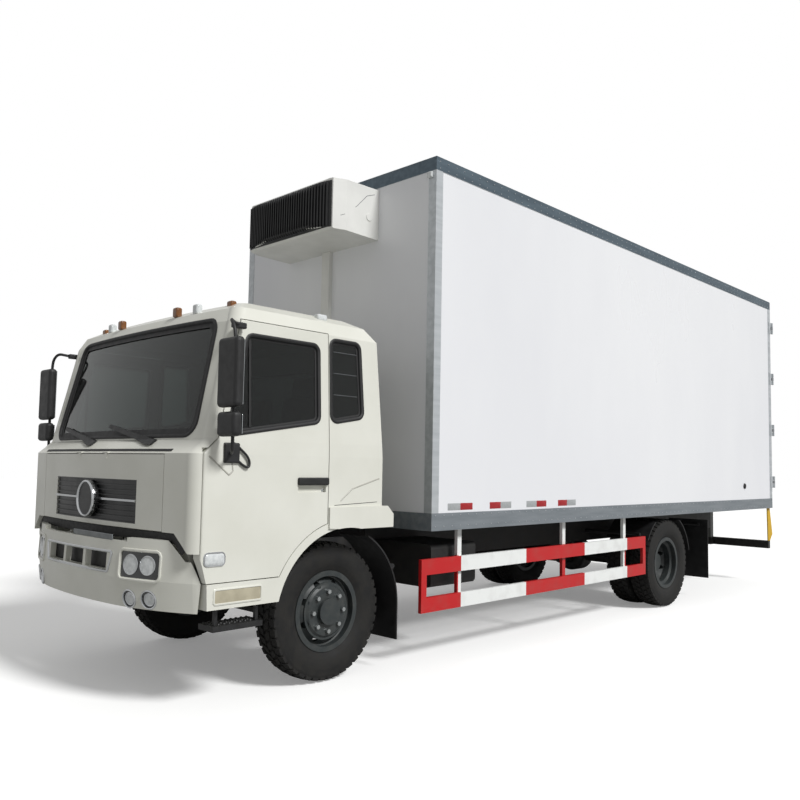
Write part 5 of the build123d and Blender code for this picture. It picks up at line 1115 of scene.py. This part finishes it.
def makeCamera():
    yaw, pitch, roll = (math.radians(cameraPlan[key]) for key in ("yaw", "pitch", "roll"))
    ahead = Vector((-math.sin(yaw) * math.cos(pitch), math.cos(yaw) * math.cos(pitch), math.sin(pitch)))
    right = Vector((math.cos(yaw), math.sin(yaw), 0.0))
    up = right.cross(ahead)
    across = right * math.cos(roll) + up * math.sin(roll)
    above = up * math.cos(roll) - right * math.sin(roll)
    data = bpy.data.cameras.new("photoCamera")
    data.lens = cameraPlan["lens"]
    data.sensor_width = cameraPlan["sensorWidth"]
    data.shift_y = cameraPlan["shiftY"]
    data.clip_end = 200.0
    camera = addPiece("photoCamera", data)
    matrix = Matrix((across, above, -ahead)).transposed().to_4x4()
    matrix.translation = Vector(cameraPlan["place"])
    camera.matrix_world = matrix
    bpy.context.scene.camera = camera


makeCamera()
lightPlan = {"world": 0.34, "reflected": 0.60, "sun": 3.0, "sunTurn": 96.0, "sunHeight": 42.0,
             "sunSoftness": 14.0}


def makeLight():
    world = bpy.data.worlds.new("studioWorld")
    world.use_nodes = True
    bpy.context.scene.world = world
    tree = world.node_tree
    tree.nodes.clear()
    path = addNode(tree, "ShaderNodeLightPath").outputs
    # full white to the camera and through glass, less in reflections, least as light
    seen = addNode(tree, "ShaderNodeMath", {0: path["Is Camera Ray"], 1: path["Is Transmission Ray"]},
                   operation="MAXIMUM")
    shine = addNode(tree, "ShaderNodeMath", {0: path["Is Glossy Ray"], 1: lightPlan["reflected"]},
                    operation="MULTIPLY")
    strength = addNode(tree, "ShaderNodeMath", {0: seen, 1: shine}, operation="MAXIMUM")
    strength = addNode(tree, "ShaderNodeMath", {0: strength, 1: lightPlan["world"]}, operation="MAXIMUM")
    background = addNode(tree, "ShaderNodeBackground", {"Color": (1, 1, 1, 1), "Strength": strength})
    output = addNode(tree, "ShaderNodeOutputWorld")
    tree.links.new(background.outputs[0], output.inputs[0])
    sun = bpy.data.lights.new("studioSun", "SUN")
    sun.energy = lightPlan["sun"]
    sun.angle = math.radians(lightPlan["sunSoftness"])
    holder = addPiece("studioSun", sun)
    turn, height = math.radians(lightPlan["sunTurn"]), math.radians(lightPlan["sunHeight"])
    level = math.cos(height)
    towards = Vector((math.sin(turn) * level, -math.cos(turn) * level, math.sin(height)))
    holder.rotation_euler = towards.to_track_quat("Z", "Y").to_euler()


makeLight()
floorPlan = {"half": 60, "grainMm": 2500, "glow": 0.22}


def makeFloorPaint():
    # A pale painted floor: white to the camera, darker to light that bounces, so that shade stays shade.
    material, tree, shader, place = startMaterial("studioFloorPale", 0.9)
    seen = addNode(tree, "ShaderNodeLightPath").outputs["Is Camera Ray"]
    cloud = mottle(tree, place, floorPlan["grainMm"])
    pale = twoShades(tree, cloud, 0.35, 0.65, hexColour("F6F6F5"), hexColour("F2F2F1"))
    colour = addNode(tree, "ShaderNodeMix", {0: seen, 6: hexColour("ADADAC"), 7: pale}, data_type="RGBA")
    tree.links.new(colour.outputs[2], shader.inputs["Base Color"])
    glow = addNode(tree, "ShaderNodeMapRange", {"Value": seen, "To Min": 0.0, "To Max": floorPlan["glow"]})
    shader.inputs["Emission Color"].default_value = (1.0, 1.0, 1.0, 1.0)
    tree.links.new(glow.outputs[0], shader.inputs["Emission Strength"])
    return material


corner = floorPlan["half"]
floor = meshPiece("studioFloor", [(*place, 0) for place in box2((-corner, -corner), (corner, corner))],
                  [(0, 1, 2, 3)])
floor.data.materials.append(makeFloorPaint())
bpy.context.scene.view_settings.view_transform = "Standard"
print("camera, light and floor made")
